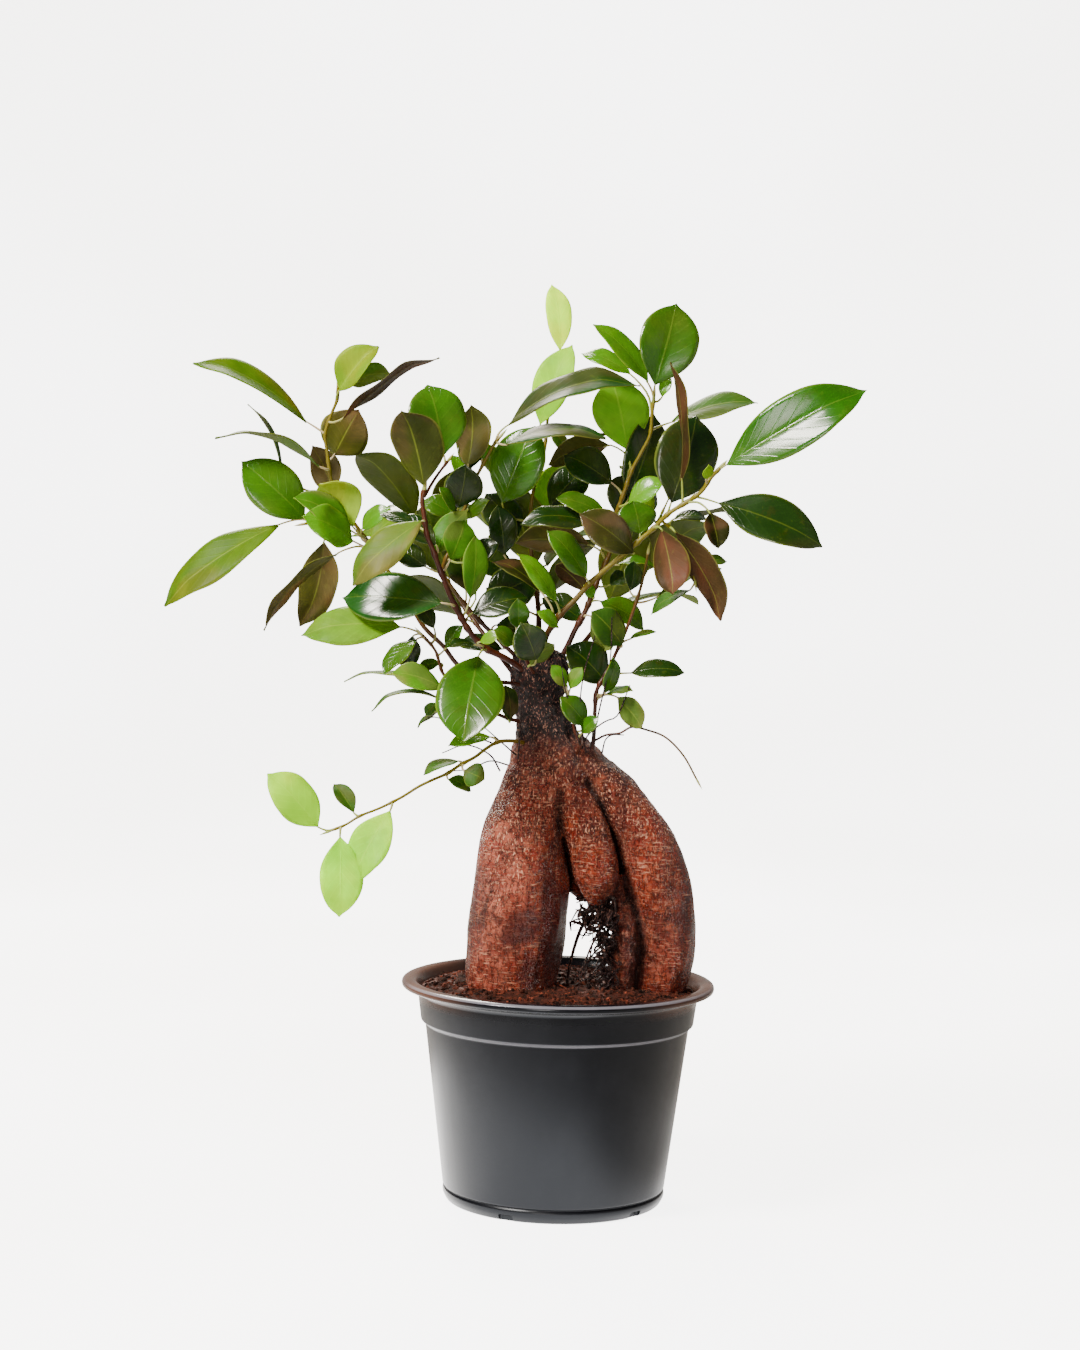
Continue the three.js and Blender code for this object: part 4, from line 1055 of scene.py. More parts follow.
def build_pot(values):
    v = values
    lip = v.lip / 2
    top = v.rim_height + lip
    profile = rounded([
        (0, 0.0006, 0),
        (v.foot_radius - 0.004, 0.0006, 0.0005),
        (v.foot_radius - 0.003, 0, 0.0003),
        (v.foot_radius, 0, 0.0012),
        (v.body_bottom + 0.0004, v.foot_height - 0.001, 0.0012),
        (v.body_bottom + 0.0003, v.foot_height + 0.0012, 0.0006),
        (v.body_bottom - 0.0005, v.foot_height + 0.0021, 0.0003),
        (v.body_bottom + 0.0004, v.foot_height + 0.003, 0.0006),
        (v.body_top, v.collar_step - MM, 0.0006),
        (v.body_top + 0.0006, v.collar_step, 0.0004),
        (v.collar_bottom, v.collar_step + 0.0006, 0.0008),
        (v.collar_top, v.rim_height - 0.0034, 0.0022),
        (v.rim_radius - 0.0032, v.rim_height - lip + 0.0004, 0.001),
        (v.rim_radius, v.rim_height - lip + 0.0006, 0.0018),
        (v.rim_radius, top - 0.0009, 0.0018),
        (v.rim_radius - 0.004, top, 0.0022),
        (v.collar_top + 0.0008, top - 0.0009, 0.002),
        (v.collar_top - v.wall, v.rim_height - 0.003, 0.001),
        (v.collar_bottom - v.wall, v.collar_step - 0.0004, 0.001),
        (v.body_top - v.wall, v.collar_step - 0.002, 0.001),
        (v.body_bottom - v.wall, v.foot_height + 0.0008, 0.002),
        (v.foot_radius - 0.0008, v.floor, 0.001),
        (0, v.floor, 0),
    ])
    pot = spin_profile("pot_wall", profile, 168)
    cutters = []
    for i in range(v.drains):
        turn = v.drain_turn + i * math.tau / v.drains
        out = v.foot_radius + 0.0026
        bpy.ops.mesh.primitive_cube_add(size=1, location=(out * math.cos(turn), out * math.sin(turn), 0))
        notch = bpy.context.active_object
        notch.rotation_euler.z = turn
        notch.scale = NOTCH_SIZE
        bpy.ops.object.transform_apply(location=True, rotation=True, scale=True)
        apply_modifier(notch, "BEVEL", width=0.0009, segments=3)
        cutters.append(notch)
    cutter = join_pieces(cutters, "drain_cutter")
    apply_modifier(pot, "BOOLEAN", operation="DIFFERENCE", object=cutter, solver="EXACT")
    bpy.data.objects.remove(cutter)
    smooth_by_angle(pot, 32)
    dress(pot, pot_plastic(v))
    put_in_frame(pot, "pot")


# The soil.


def soil_top(x, y, values, edge):
    share = min(math.hypot(x, y) / edge, 1)
    a = x / MM
    b = y / MM
    lumps = math.sin(a * 0.31 + 1) * math.cos(b * 0.27) + math.sin(a * 0.13 - b * 0.19)
    return values.edge_height + values.mound * (1 - share * share) + 0.7 * MM * lumps * (1 - share)


# Where the roots stand in the soil: right, half width, half depth and depth, as they are seen.
ROOTS_AT_SOIL = ((-23.5, 22, 21, -4), (50.5, 13.8, 15.2, 2), (32.5, 5.6, 8.5, -6))


def in_a_root(x, y, spare):
    """Whether a place at the soil's height lies inside one of the roots, or within a spare width of it."""
    for right, half_width, half_depth, depth in ROOTS_AT_SOIL:
        middle = seen((right, 105, depth))
        reach = ((x - middle.x) / (half_width * MM + spare), (y - middle.y) / (half_depth * MM + spare))
        if math.hypot(*reach) < 1:
            return True
    return False


def scatter(name, template, places, tints):
    """One mesh of many copies of a small template, each put in its place and painted with its tint."""
    shape = corners(template)
    faces = [tuple(face.vertices) for face in template.data.polygons]
    count = len(shape)
    vertices = []
    all_faces = []
    for number, matrix in enumerate(places):
        table = np.array(matrix)
        vertices.append(shape @ table[:3, :3].T + table[:3, 3])
        all_faces.extend(tuple(k + number * count for k in face) for face in faces)
    bpy.data.objects.remove(template)
    piece = new_piece(name, np.concatenate(vertices), [], all_faces)
    paint(piece, "grain_tint", np.repeat(np.array(tints), count, axis=0))
    return piece


def turned(place, angles, sizes):
    return Matrix.LocRotScale(Vector(place), Euler(angles), Vector(sizes))


def build_soil(values):
    v = values
    pot = bpy.context.scene.ficus.pot
    inside = v.radius
    profile = [
        (0, pot.floor + 0.00035),
        (pot.foot_radius - 0.0012, pot.floor + 0.00035),
        (pot.body_bottom - pot.wall - 0.00035, pot.foot_height + 0.0012),
        (pot.body_top - pot.wall - 0.00045, pot.collar_step - 0.0016),
        (pot.collar_bottom - pot.wall - 0.00045, pot.collar_step),
        (inside, v.edge_height - 0.0012),
    ]
    rings = 52
    profile += [(inside * (1 - i / rings), v.edge_height) for i in range(rings + 1)]
    soil = spin_profile("soil_bed", profile, 150)
    places = corners(soil)
    for row in places:
        if row[2] > v.edge_height - 1e-5:
            x, y = row[0], row[1]
            share = math.hypot(x, y) / inside
            clods = noise.noise(Vector((x, y, 0)) * 260) * 0.0009
            clods += noise.noise(Vector((x, y, 3)) * 620) * 0.0007
            row[2] = soil_top(x, y, v, pot.collar_top) + clods * smoothstep(1.0, 0.93, share)
    move_corners(soil, places)
    paint(soil, "grain_tint", (0.85, 0.82, 0.8, 1))
    bpy.ops.object.shade_smooth()

    dice = random.Random(11)
    spots = []
    while len(spots) < v.crumbs:
        angle = dice.uniform(0, math.tau)
        out = inside * math.sqrt(dice.random()) * 0.985
        x, y = out * math.cos(angle), out * math.sin(angle)
        if not in_a_root(x, y, -0.001):
            spots.append((x, y))
    bpy.ops.mesh.primitive_ico_sphere_add(subdivisions=1, radius=1)
    template = bpy.context.active_object
    places = []
    tints = []
    for x, y in spots:
        size = (0.35 + 1.15 * dice.random() ** 3) * MM
        if math.hypot(x, y) > inside - 2 * size:
            size *= 0.5
        shape = [size * dice.uniform(*span) for span in ((0.7, 1.35), (0.7, 1.35), (0.5, 0.95))]
        height = soil_top(x, y, v, pot.collar_top) + size * dice.uniform(-0.1, 0.45)
        places.append(turned((x, y, height), [dice.uniform(0, math.tau) for _ in range(3)], shape))
        tone = dice.choice((0.3, 0.45, 0.6, 0.9, 1.3, 1.9)) * dice.uniform(0.8, 1.2)
        # About one crumb in twelve is painted three times paler, standing in for glints on the damp soil.
        if dice.random() < 0.08:
            tone = 3.0
        tints.append((tone, tone * 0.92, tone * 0.84, 1))
    crumbs = scatter("soil_crumbs", template, places, tints)

    bpy.ops.mesh.primitive_cone_add(vertices=4, radius1=1, radius2=0.4, depth=2, end_fill_type="NOTHING")
    template = bpy.context.active_object
    places = []
    tints = []
    for _ in range(v.fibres):
        x, y = dice.choice(spots)
        height = soil_top(x, y, v, pot.collar_top) + dice.uniform(0.2, 1.3) * MM
        tilt = math.radians(dice.gauss(90, 16))
        long = dice.uniform(1.2, 4.2) * MM
        if math.hypot(x, y) > inside - long:
            long = 1.0 * MM
        thick = dice.uniform(0.08, 0.24) * MM
        places.append(turned((x, y, height), (tilt, 0, dice.uniform(0, math.tau)), (thick, thick, long)))
        tone = dice.choice((0.6, 1.2, 2.2, 3.4))
        tints.append((tone, tone * 0.86, tone * 0.7, 1))
    fibres = scatter("soil_fibres", template, places, tints)

    soil = join_pieces([soil, crumbs, fibres], "soil_bed")
    dress(soil, soil_finish(v.colour))
    put_in_frame(soil, "soil")


# The trunk.


# Spots on the bark as the front view shows them, each (across, height, half width, half height,
# strength): dark patches that are partly stains and partly painted shade on the sides turned from
# the light, painted light on the lit bark, and finely crackled skin whose pale dashes are painted glints.
BARK_STAINS_AND_SHADE = (
    (-3, 142, 10, 48, 0.8), (-19, 139, 12, 15, 0.8), (-30, 143, 7, 6, 0.6), (-15, 114, 10, 12, 0.7),
    (10, 200, 8, 26, 0.5), (29, 196, 7, 30, 0.5), (34, 176, 6, 26, 0.4),
    (27, 158, 6, 20, 0.6), (62, 150, 6, 46, 0.5), (18, 143, 9, 8, 0.7),
    (46, 206, 9, 12, 0.4), (47, 116, 6, 8, 0.3), (-38, 165, 5, 12, 0.3),
)
BARK_PAINTED_LIGHT = (
    (-27, 165, 15, 62, 1.0), (-36, 118, 14, 26, 0.8), (-10, 205, 20, 22, 0.6), (54, 124, 14, 22, 0.4),
)
BARK_CRACKLE_GLINTS = (
    (-24, 185, 16, 40, 1.0), (-30, 160, 12, 22, 0.6), (8, 190, 10, 26, 0.8), (40, 190, 14, 22, 0.7),
    (-47, 118, 10, 16, 0.4), (52, 160, 10, 26, 0.4),
)

# Thin bare twigs that stand round the foot of the neck, from the bark outwards.
THIN_TWIGS = (
    [[-21, 221, -10], [-29, 228, -14], [-37, 235, -16]],
    [[-25, 216, -8], [-34, 218, -13], [-44, 214, -15], [-53, 213, -16]],
    [[-20, 219, -16], [-19, 233, -21], [-18, 250, -22]],
    [[-29, 213, -8], [-34, 221, -12], [-46, 226, -14], [-58, 222, -14]],
    [[-33, 227, -14], [-48, 233, -16], [-62, 240, -17], [-70, 236, -17]],
    [[12, 224, -12], [15, 231, -15], [24, 238, -16], [29, 240, -16], [36, 256, -17]],
    [[22, 222, -10], [24, 229, -14], [27, 231, -15], [33, 231, -15]],
    [[11, 226, -15], [8, 238, -19], [4, 252, -21], [1, 270, -21]],
    [[14, 222, -13], [11, 243, -18], [13, 262, -20], [19, 282, -20]],
    [[16, 224, -12], [21, 245, -17], [26, 268, -18], [27, 290, -18]],
)


# How far below its surroundings the bark lies where the painted shade in its hollows is darkest, and
# the heights between which the smooth bark turns into the cork of the neck.
DEEP_HOLLOW = 0.0012
NECK_CORK = (0.212, 0.234)

# How many hair roots hang in the gap between the legs and cling to the craggy root beside it.
ROOT_HAIRS = 260


def swollen(name, rings, sides, rows):
    """A closed, swollen root from its level rings."""
    bpy.ops.mesh.primitive_grid_add(x_subdivisions=sides, y_subdivisions=rows, size=2)
    root = bpy.context.active_object
    root.name = name
    centres = smooth_path([seen(ring) for ring in rings], rows)
    heights = [-seen(ring).z for ring in rings]
    places = corners(root)
    row_of = np.rint((places[:, 1] + 1) / 2 * rows).astype(int)
    turn = (places[:, 0] + 1) * math.pi
    middles = np.array([tuple(c) for c in centres])[row_of]
    wide = smooth_interp(-middles[:, 2], heights, [ring[3] * MM for ring in rings])
    deep = smooth_interp(-middles[:, 2], heights, [ring[4] * MM for ring in rings])
    height = middles[:, 2] / MM
    swell = 1 + 0.03 * np.sin(3 * turn + height / 17) + 0.02 * np.sin(5 * turn - height / 9)
    places[:, 0] = middles[:, 0] + np.sin(turn) * wide * swell
    places[:, 1] = middles[:, 1] - np.cos(turn) * deep * swell
    places[:, 2] = middles[:, 2]
    move_corners(root, places)
    choose(root)
    bpy.ops.object.mode_set(mode="EDIT")
    close_shell(1e-5, holes=True)
    return root


def smooth_interp(at, stations, values):
    """Values at places between the stations, without corners at the stations."""
    fine = np.linspace(stations[0], stations[-1], 400)
    rough = np.interp(fine, stations, values)
    kernel = np.hanning(23)
    padded = np.pad(rough, 11, mode="reflect", reflect_type="odd")
    return np.interp(at, fine, np.convolve(padded, kernel / kernel.sum(), mode="valid"))


def spread_out(places, edges, rounds):
    """The places after each has moved again and again to the middle of its neighbours."""
    count = np.bincount(edges.ravel(), minlength=len(places))[:, None]
    for _ in range(rounds):
        total = np.zeros_like(places)
        for column in range(3):
            total[:, column] += np.bincount(edges[:, 0], places[edges[:, 1], column], len(places))
            total[:, column] += np.bincount(edges[:, 1], places[edges[:, 0], column], len(places))
        places = total / count
    return places


def side_axis(height):
    """How far right the craggy root beside the right leg stands, at a height."""
    rings = [seen(ring) for ring in reversed(SWOLLEN_ROOTS["side_root"])]
    return np.interp(height, [ring.z for ring in rings], [ring.x for ring in rings])


def blotches(u, height, spots):
    """How much of the spots' (across, height, half width, half height, strength) a place takes."""
    most = 0.0
    for middle, level, wide, tall, strength in spots:
        away = math.hypot((u - middle) / wide, (height - level) / tall)
        most = max(most, strength * smoothstep(1.0, 0.35, away))
    return most


def build_trunk(values):
    v = values
    roots = [swollen(name, rings, 96, 110) for name, rings in SWOLLEN_ROOTS.items()]
    trunk = join_pieces(roots, "trunk_bark")
    trunk.data.remesh_voxel_size = v.grain
    bpy.ops.object.voxel_remesh()
    apply_modifier(trunk, "SMOOTH", factor=0.5, iterations=7)

    places = corners(trunk)
    edges = np.empty(len(trunk.data.edges) * 2, int)
    trunk.data.edges.foreach_get("vertices", edges)
    edges = edges.reshape(-1, 2)
    normals = np.empty(len(places) * 3)
    trunk.data.vertices.foreach_get("normal", normals)
    normals = normals.reshape(-1, 3)
    soft = spread_out(places, edges, 24)
    # How deep each place lies below its smoothed surroundings, which sets the painted shade in the hollows.
    hollow_shade = np.einsum("ij,ij->i", soft - places, normals)

    cork, stain_and_shade, pale, crackle_glints, lift = np.zeros((5, len(places)))
    for i, place in enumerate(places):
        x, y, z = place
        wander = noise.noise(Vector(place) * 90) * 0.006
        cork[i] = smoothstep(*NECK_CORK, z + 1.5 * wander)
        craggy = smoothstep(0.011, 0.006, abs(x - side_axis(z) + wander * 0.3))
        cork[i] = max(cork[i], 0.45 * craggy * smoothstep(0.166, 0.152, z) * smoothstep(0.016, 0.008, y))
        if y < 0.012:
            spot = ((x + wander) / MM, (z + 1.5 * wander) / MM)
            stain_and_shade[i] = blotches(*spot, BARK_STAINS_AND_SHADE)
            # pale: painted light on the bark that faces the key light.
            pale[i] = blotches(*spot, BARK_PAINTED_LIGHT)
        # Finely crackled skin at the top of the trunk and in lit spots, where pale dashes are painted as
        # glints.
        crackle_glints[i] = max(0.9 * smoothstep(0.15, 0.2, z + wander), blotches(x / MM, z / MM, BARK_CRACKLE_GLINTS))
        broad = noise.noise(Vector((x * 45, y * 45, z * 38)))
        upright = noise.noise(Vector((x * 260, y * 260, z * 55)))
        rings = noise.noise(Vector((x * 60, y * 60, z * 620 + 4 * broad)))
        lift[i] = broad * v.swell + upright * v.ribs + rings * 0.00016
        if cork[i] > 0:
            crust = noise.noise(Vector(place) * 420) * 0.6 + noise.noise(Vector(place) * 210)
            lift[i] += cork[i] * crust * v.cork
    places += normals * lift[:, None]
    move_corners(trunk, places)
    hollow_shade = np.clip(hollow_shade / DEEP_HOLLOW, 0, 1)
    for name, share in (
        ("cork", cork), ("hollow_shade", hollow_shade), ("stain_and_shade", stain_and_shade), ("crackle_glints", crackle_glints), ("pale", pale)
    ):
        paint(trunk, name, share[:, None])
    choose(trunk)
    bpy.ops.object.shade_smooth()

    lines = []
    for points, radius in FINE_ROOTS:
        path = smooth_path([seen(p) for p in points], 26)
        lines.append([(p, radius * MM * (1 - 0.35 * i / 26)) for i, p in enumerate(path)])
    dice = random.Random(5)
    for i in range(ROOT_HAIRS):
        if i % 5 < 3:
            start = Vector((dice.uniform(20, 30), dice.uniform(104, 150), dice.uniform(-16, -3)))
        else:
            start = Vector((dice.uniform(11, 27), dice.uniform(136, 152), dice.uniform(-15, -5)))
        if i % 26 == 4:
            end = Vector((dice.uniform(6, 28), dice.uniform(101, 112), dice.uniform(-18, 2)))
        else:
            end = start + Vector((dice.uniform(-6, 6), dice.uniform(-10, 5), dice.uniform(-6, 6)))
        middle = (start + end) / 2 + Vector([dice.uniform(-5, 5) for _ in range(3)])
        path = smooth_path([seen(start), seen(middle), seen(end)], 12)
        thick = dice.uniform(0.2, 1.0) * MM
        lines.append([(p, thick * (1 - 0.6 * k / 12)) for k, p in enumerate(path)])
    for points in THIN_TWIGS:
        path = smooth_path([seen(p) for p in points], 18)
        lines.append([(p, (0.5 - 0.2 * i / 18) * MM) for i, p in enumerate(path)])
    fine = rods("fine_roots", lines, 1)
    paint(fine, "cork", (0.6, 0.6, 0.6, 1))
    trunk = join_pieces([trunk, fine], "trunk_bark")
    dress(trunk, bark_finish(v))
    put_in_frame(trunk, "trunk")


# Stems and leaves.


def rods(name, lines, resolution):
    """Round rods along lines of (place, radius), as one mesh."""
    data = bpy.data.curves.new(name, "CURVE")
    data.dimensions = "3D"
    data.bevel_depth = 1.0
    data.bevel_resolution = resolution
    data.use_fill_caps = True
    for line in lines:
        spline = data.splines.new("POLY")
        spline.points.add(len(line) - 1)
        spline.use_smooth = True
        for point, (place, radius) in zip(spline.points, line):
            point.co = (*place, 1)
            point.radius = radius
    piece = bpy.data.objects.new(name, data)
    bpy.context.scene.collection.objects.link(piece)
    choose(piece)
    bpy.ops.object.convert(target="MESH")
    piece = bpy.context.active_object
    bpy.ops.object.shade_smooth()
    return piece


def stalk_foot(start, paths):
    """Where a leaf's stalk leaves its stem: the nearest place, and then a little nearer the root."""
    best = None
    for path in paths:
        for i in range(1, 41):
            gap = (path[i] - start).length
            if best is None or gap < best[0]:
                best = (gap, path, i / 40)
    gap, path, share = best
    length = sum((q - p).length for p, q in zip(path, path[1:]))
    share = max(share - gap * 0.5 / length, 0.15)
    at = min(share * 40, 39.999)
    low = int(at)
    return path[low].lerp(path[low + 1], at - low)


def blade_template(materials):
    """One flat blade with both its skins, which every leaf is a reshaped copy of."""
    bpy.ops.mesh.primitive_grid_add(x_subdivisions=10, y_subdivisions=26, size=2)
    blade = bpy.context.active_object
    blade.name = "blade_template"
    dress(blade, *materials)
    apply_modifier(
        blade, "SOLIDIFY", thickness=0.1, offset=0, material_offset=1, material_offset_rim=1, use_rim=True
    )
    bpy.ops.object.shade_smooth()
    return blade


def shape_blade(blade, plan, values, seed):
    """Moves the corners of a template's copy to the leaf's own shape, and paints its tints."""
    flat = corners(blade)
    share = (flat[:, 1] + 1) / 2
    t = 0.4 * share + 0.3 * (1 - np.cos(math.pi * share))
    s = flat[:, 0]
    skin = np.sign(flat[:, 2])
    start = np.array(plan["start"])
    along = plan["end"] - plan["start"]
    length = along.length
    along.normalize()
    face = (plan["face"] - along * plan["face"].dot(along)).normalized()
    across = np.array(face.cross(along))
    face = np.array(face)
    along = np.array(along)
    fold = math.radians(plan["fold"])
    outline = smooth_path([(*station, 0) for station in BLADE_OUTLINE], 300)
    spread = np.interp(t, [p.x for p in outline], [p.y for p in outline])
    half = plan["width"] / 2
    lean_side = 1 + 0.07 * (chance(seed) - 0.5) * s
    reach = s * half * spread * lean_side * math.cos(fold)
    bend = 0.05 * plan["width"]
    lift = math.tan(fold) * (np.sqrt(reach**2 + bend**2) - bend)
    lift -= 0.35 * reach**2 / plan["width"] * (0.4 + 1.2 * chance(seed + 0.3))
    lift += plan["bow"] * length * 4 * t * (1 - t)
    turns = 0.9 + 1.1 * chance(seed + 1)
    lift += 0.035 * plan["width"] * s**2 * np.sin(math.tau * (turns * t + chance(seed + 2)) + 1.7 * (s > 0))
    lift -= length * (0.02 + 0.06 * chance(seed + 4)) * smoothstep(0.72, 1.0, t)
    thick = values.thickness / 2 * (1 - 0.45 * s**2)
    rib = 0.4 * MM * (1 - 0.75 * t) * (np.abs(s) < 0.05) * (skin < 0)
    lift += skin * (thick + rib)
    twist = math.radians(16) * (chance(seed + 5) - 0.5) * (t - 0.3)
    side = reach * np.cos(twist) - lift * np.sin(twist)
    rise = reach * np.sin(twist) + lift * np.cos(twist)
    move_corners(blade, start + np.outer(t * length, along) + np.outer(side, across) + np.outer(rise, face))

    shade = 0.86 + 0.3 * chance(seed + 6)
    warm = 0.94 + 0.12 * chance(seed + 7)
    fade = 1 + 0.22 * (0.5 - t) * (chance(seed + 8) - 0.3)
    upper, under, *flush_and_sheen = TONES[plan["tone"]]
    tan, most = flush_and_sheen or USUAL_FLUSH_AND_SHEEN
    # The flush is partly the leaf's own brown and partly painted sheen.
    spread = [noise.noise(Vector((a * 0.7, b * 1.9, seed * 7.3))) for a, b in zip(s, t)]
    blush_and_sheen = most * smoothstep(-0.04, 0.2, np.array(spread))[:, None]
    for name, colour in (("leaf_tint", upper), ("leaf_under", under)):
        green = np.array(linear(colour)) * (warm, 1, 2 - warm, 1)
        mixed = green * (1 - blush_and_sheen) + np.array(linear(tan)) * blush_and_sheen
        table = mixed * shade * fade[:, None]
        table[:, 3] = 1
        paint(blade, name, table)


def stem_lines(twigs, feet):
    """Rods for a stem and its twigs, thicker where a leaf's stalk leaves them, and their end buds."""
    wood = []
    buds = []
    for one in twigs:
        steps = 10 * len(one["points"])
        path = smooth_path(one["points"], steps)
        line = []
        for i, place in enumerate(path):
            radius = one["start"] + (one["end"] - one["start"]) * i / steps
            near = min(((place - foot).length for foot in feet), default=1.0)
            knot = 1 + 0.35 * math.exp(-((near / 0.0016) ** 2))
            line.append((place, radius * knot))
        wood.append(line)
        way = (path[-1] - path[-3]).normalized()
        tip = path[-1]
        end = one["end"]
        buds.append([
            (tip - way * MM, end), (tip + way * MM, end * 1.25), (tip + way * 3 * MM, end * 0.9),
            (tip + way * 5.5 * MM, end * 0.12),
        ])
    return wood, buds


def age_of_wood(places, name):
    """How young the wood is, from 0 by the trunk to 1 at the far ends."""
    away = np.linalg.norm(places - np.array(seen((-9, 250, 0))), axis=1)
    near, far, most = YOUNG_WOOD.get(name, (0.03, 0.16, 0.85))
    return most * smoothstep(near, far, away)


def build_leaves(values):
    v = values
    skins, satin_skins = (
        [leaf_finish(upper, glossy) for upper in (True, False)] for glossy in (True, False)
    )
    wood = wood_finish(v.wood, v.young_wood)
    green = stalk_finish(v.stalk_colour)
    template = blade_template(skins)
    seed = 0
    for name, (twigs, leaves) in LEAFY_STEMS.items():
        paths = [smooth_path(one["points"], 40) for one in twigs]
        feet = [stalk_foot(plan["start"], paths) for plan in leaves]
        pieces = []
        stalks = []
        for plan, foot in zip(leaves, feet):
            seed += 1
            blade = bpy.data.objects.new("blade", template.data.copy())
            bpy.context.scene.collection.objects.link(blade)
            shape_blade(blade, plan, v, seed)
            if plan["tone"] not in GLOSSY_TONES:
                dress(blade, *satin_skins)
            pieces.append(blade)
            along = (plan["end"] - plan["start"]).normalized()
            gap = (plan["start"] - foot).length
            near = plan["start"] - along * gap * 0.35
            into = plan["start"] + along * min(gap, (plan["end"] - plan["start"]).length) * 0.12
            path = smooth_path([foot, foot.lerp(near, 0.6), plan["start"], into], 9)
            stalks.append([(p, v.stalk * (1.25 - 0.55 * i / 9)) for i, p in enumerate(path)])
        wood_lines, buds = stem_lines(twigs, feet)
        woody = rods("wood", wood_lines, 2)
        paint(woody, "young", age_of_wood(corners(woody), name)[:, None])
        dress(woody, wood)
        soft = rods("stalks", stalks + buds, 1)
        dress(soft, green)
        whole = join_pieces([*pieces, woody, soft], "leafy_" + name)
        put_in_frame(whole, name)
    bpy.data.objects.remove(template)


# The stage.


def area_light(name, place, target, size, power, colour):
    data = bpy.data.lights.new(name, "AREA")
    data.shape = "DISK"
    data.size = size
    data.energy = power
    data.color = linear(colour)[:3]
    lamp = bpy.data.objects.new(name, data)
    bpy.context.scene.collection.objects.link(lamp)
    lamp.location = place
    lamp.visible_camera = False
    lamp.rotation_euler = (Vector(target) - Vector(place)).to_track_quat("-Z", "Y").to_euler()


def build_stage(values):
    v = values
    bpy.ops.mesh.primitive_grid_add(x_subdivisions=2, y_subdivisions=60, size=2)
    floor = bpy.context.active_object
    floor.name = "backdrop"
    half_width = 6
    length = 8.5
    in_front = 3.0
    flat = 1.4
    curve = 0.9
    places = corners(floor)
    reach = (places[:, 1] + 1) / 2 * length - in_front
    turn = np.clip((reach - flat) / curve, 0, math.pi / 2)
    wall = np.clip(reach - flat - curve * math.pi / 2, 0, None)
    places[:, 0] *= half_width
    places[:, 1] = np.minimum(reach, flat) + curve * np.sin(turn)
    places[:, 2] = curve * (1 - np.cos(turn)) + wall
    move_corners(floor, places)
    choose(floor)
    bpy.ops.object.shade_smooth()
    dress(floor, stage_finish(v.floor, v.paper))

    world = bpy.data.worlds.new("plain_surround")
    world.use_nodes = True
    tree = world.node_tree
    surround = tree.nodes["Background"].inputs
    surround["Color"].default_value = linear("#fbf8f5")
    path = tree.nodes.new("ShaderNodeLightPath")
    share = tree.nodes.new("ShaderNodeMapRange")
    share.inputs["To Min"].default_value = v.sky
    share.inputs["To Max"].default_value = v.paper
    tree.links.new(path.outputs["Is Camera Ray"], share.inputs["Value"])
    tree.links.new(share.outputs["Result"], surround["Strength"])
    bpy.context.scene.world = world
    middle = (-0.005, 0, 0.22)
    area_light("key_light", (-1.0, -0.8, 1.5), middle, 0.5, v.key, "#fff7ee")
    area_light("back_light", (-0.3, 1.1, 1.25), middle, 0.6, v.back, "#fff4e6")
    area_light("fill_light", (1.2, -0.7, 0.5), middle, 0.9, v.fill, "#ffe9dc")
    area_light("front_light", (-0.25, -1.25, 0.3), middle, 0.4, v.front, "#fff6ee")

    data = bpy.data.cameras.new("front_camera")
    camera = bpy.data.objects.new("front_camera", data)
    bpy.context.scene.collection.objects.link(camera)
    camera.location = EYE * MM
    camera.rotation_euler = (math.pi / 2, -LEAN, 0)
    offset = seen(PICTURE_MIDDLE) - camera.location
    right = Vector((math.cos(LEAN), 0, math.sin(LEAN)))
    up = Vector((-math.sin(LEAN), 0, math.cos(LEAN)))
    height = PICTURE_HEIGHT * MM
    data.sensor_width = 36
    data.lens = data.sensor_width * offset.y / height
    data.shift_x = offset.dot(right) / height
    data.shift_y = offset.dot(up) / height
    data.clip_end = 50
    bpy.context.scene.camera = camera


# Operators, panel and registration.


class FICUS_OT_pot(bpy.types.Operator):
    """Build the nursery pot with its rolled lip, collar and drain notches"""

    bl_idname = "ficus.build_pot"
    bl_label = "Build pot"

    def execute(self, context):
        build_pot(context.scene.ficus.pot)
        return {"FINISHED"}


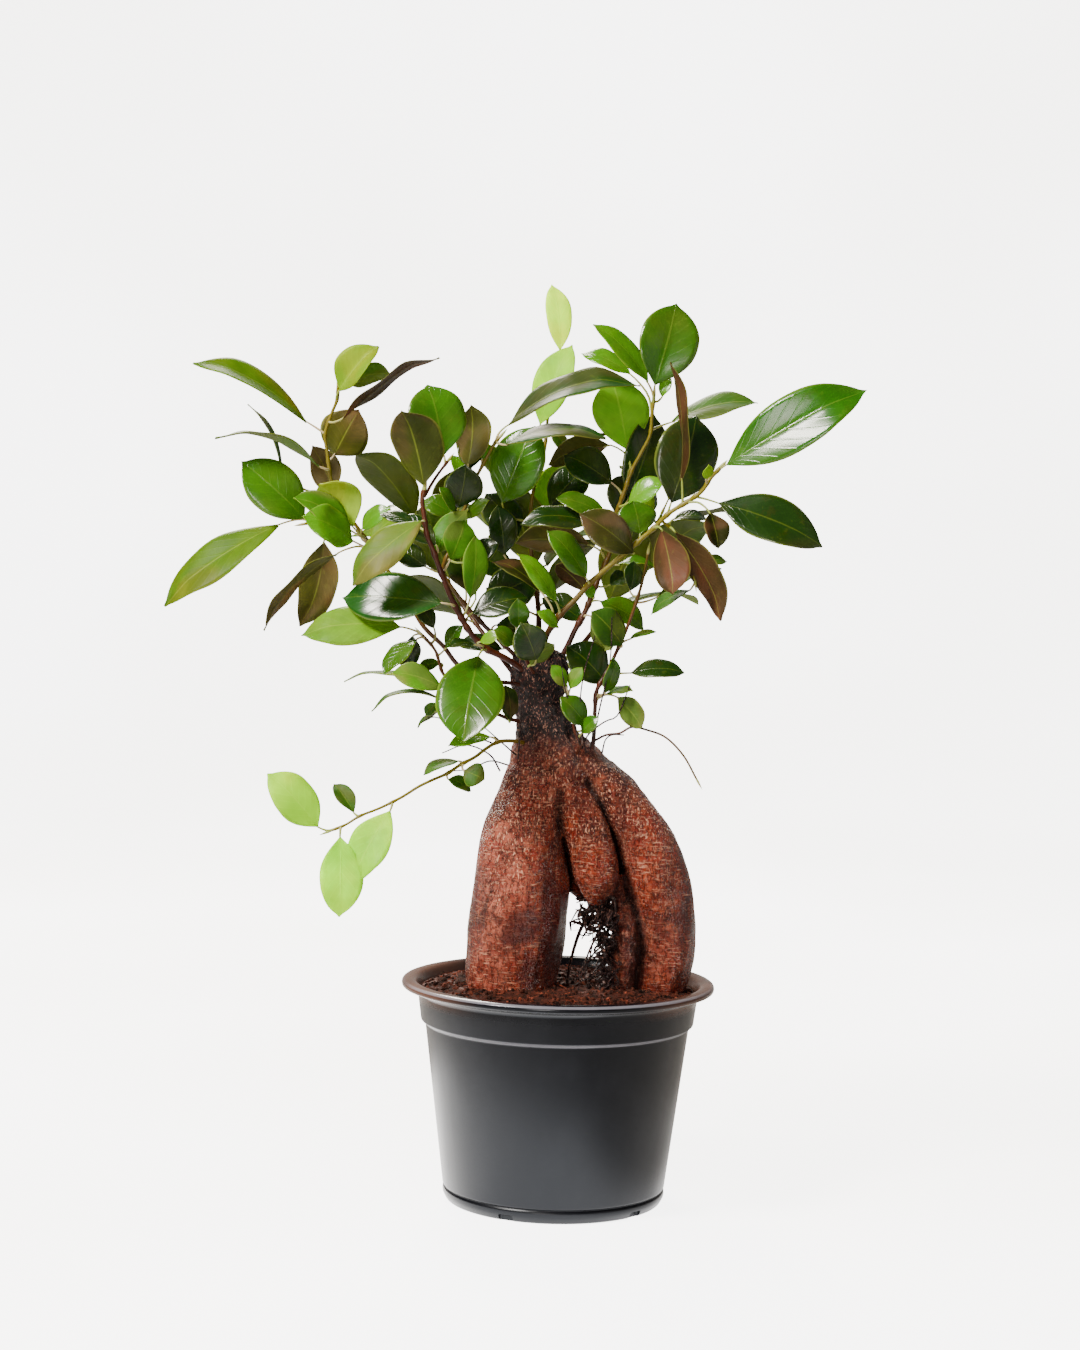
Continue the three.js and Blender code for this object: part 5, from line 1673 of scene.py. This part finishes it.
class FICUS_OT_soil(bpy.types.Operator):
    """Build the potting soil with its loose crumbs and fibres"""

    bl_idname = "ficus.build_soil"
    bl_label = "Build soil"

    def execute(self, context):
        build_soil(context.scene.ficus.soil)
        return {"FINISHED"}


class FICUS_OT_trunk(bpy.types.Operator):
    """Build the swollen trunk with its rough neck and fine roots"""

    bl_idname = "ficus.build_trunk"
    bl_label = "Build trunk"

    def execute(self, context):
        build_trunk(context.scene.ficus.trunk)
        return {"FINISHED"}


class FICUS_OT_leaves(bpy.types.Operator):
    """Build every leafy stem with its twigs, stalks, buds and leaves"""

    bl_idname = "ficus.build_leaves"
    bl_label = "Build leafy stems"

    def execute(self, context):
        build_leaves(context.scene.ficus.leaves)
        return {"FINISHED"}


class FICUS_OT_stage(bpy.types.Operator):
    """Build the plain backdrop, the lights and the camera"""

    bl_idname = "ficus.build_stage"
    bl_label = "Build stage"

    def execute(self, context):
        build_stage(context.scene.ficus.stage)
        return {"FINISHED"}


OPERATORS = (FICUS_OT_pot, FICUS_OT_soil, FICUS_OT_trunk, FICUS_OT_leaves, FICUS_OT_stage)


class FICUS_PT_panel(bpy.types.Panel):
    """The sidebar panel that lists the pieces"""

    bl_idname = "FICUS_PT_panel"
    bl_label = "Ficus ginseng bonsai"
    bl_space_type = "VIEW_3D"
    bl_region_type = "UI"
    bl_category = "Ficus"

    def draw(self, context):
        for operator in OPERATORS:
            self.layout.operator(operator.bl_idname)


GROUPS = (
    FICUS_PG_pot, FICUS_PG_soil, FICUS_PG_trunk, FICUS_PG_leaves, FICUS_PG_stage, FICUS_PG_settings
)
CLASSES = (*GROUPS, *OPERATORS, FICUS_PT_panel)


def register():
    for cls in CLASSES:
        bpy.utils.register_class(cls)
    bpy.types.Scene.ficus = bpy.props.PointerProperty(type=FICUS_PG_settings)


def unregister():
    del bpy.types.Scene.ficus
    for cls in reversed(CLASSES):
        bpy.utils.unregister_class(cls)


def main():
    register()
    bpy.ops.ficus.build_pot()
    bpy.ops.ficus.build_soil()
    bpy.ops.ficus.build_trunk()
    bpy.ops.ficus.build_leaves()
    bpy.ops.ficus.build_stage()


if __name__ == "__main__":
    main()
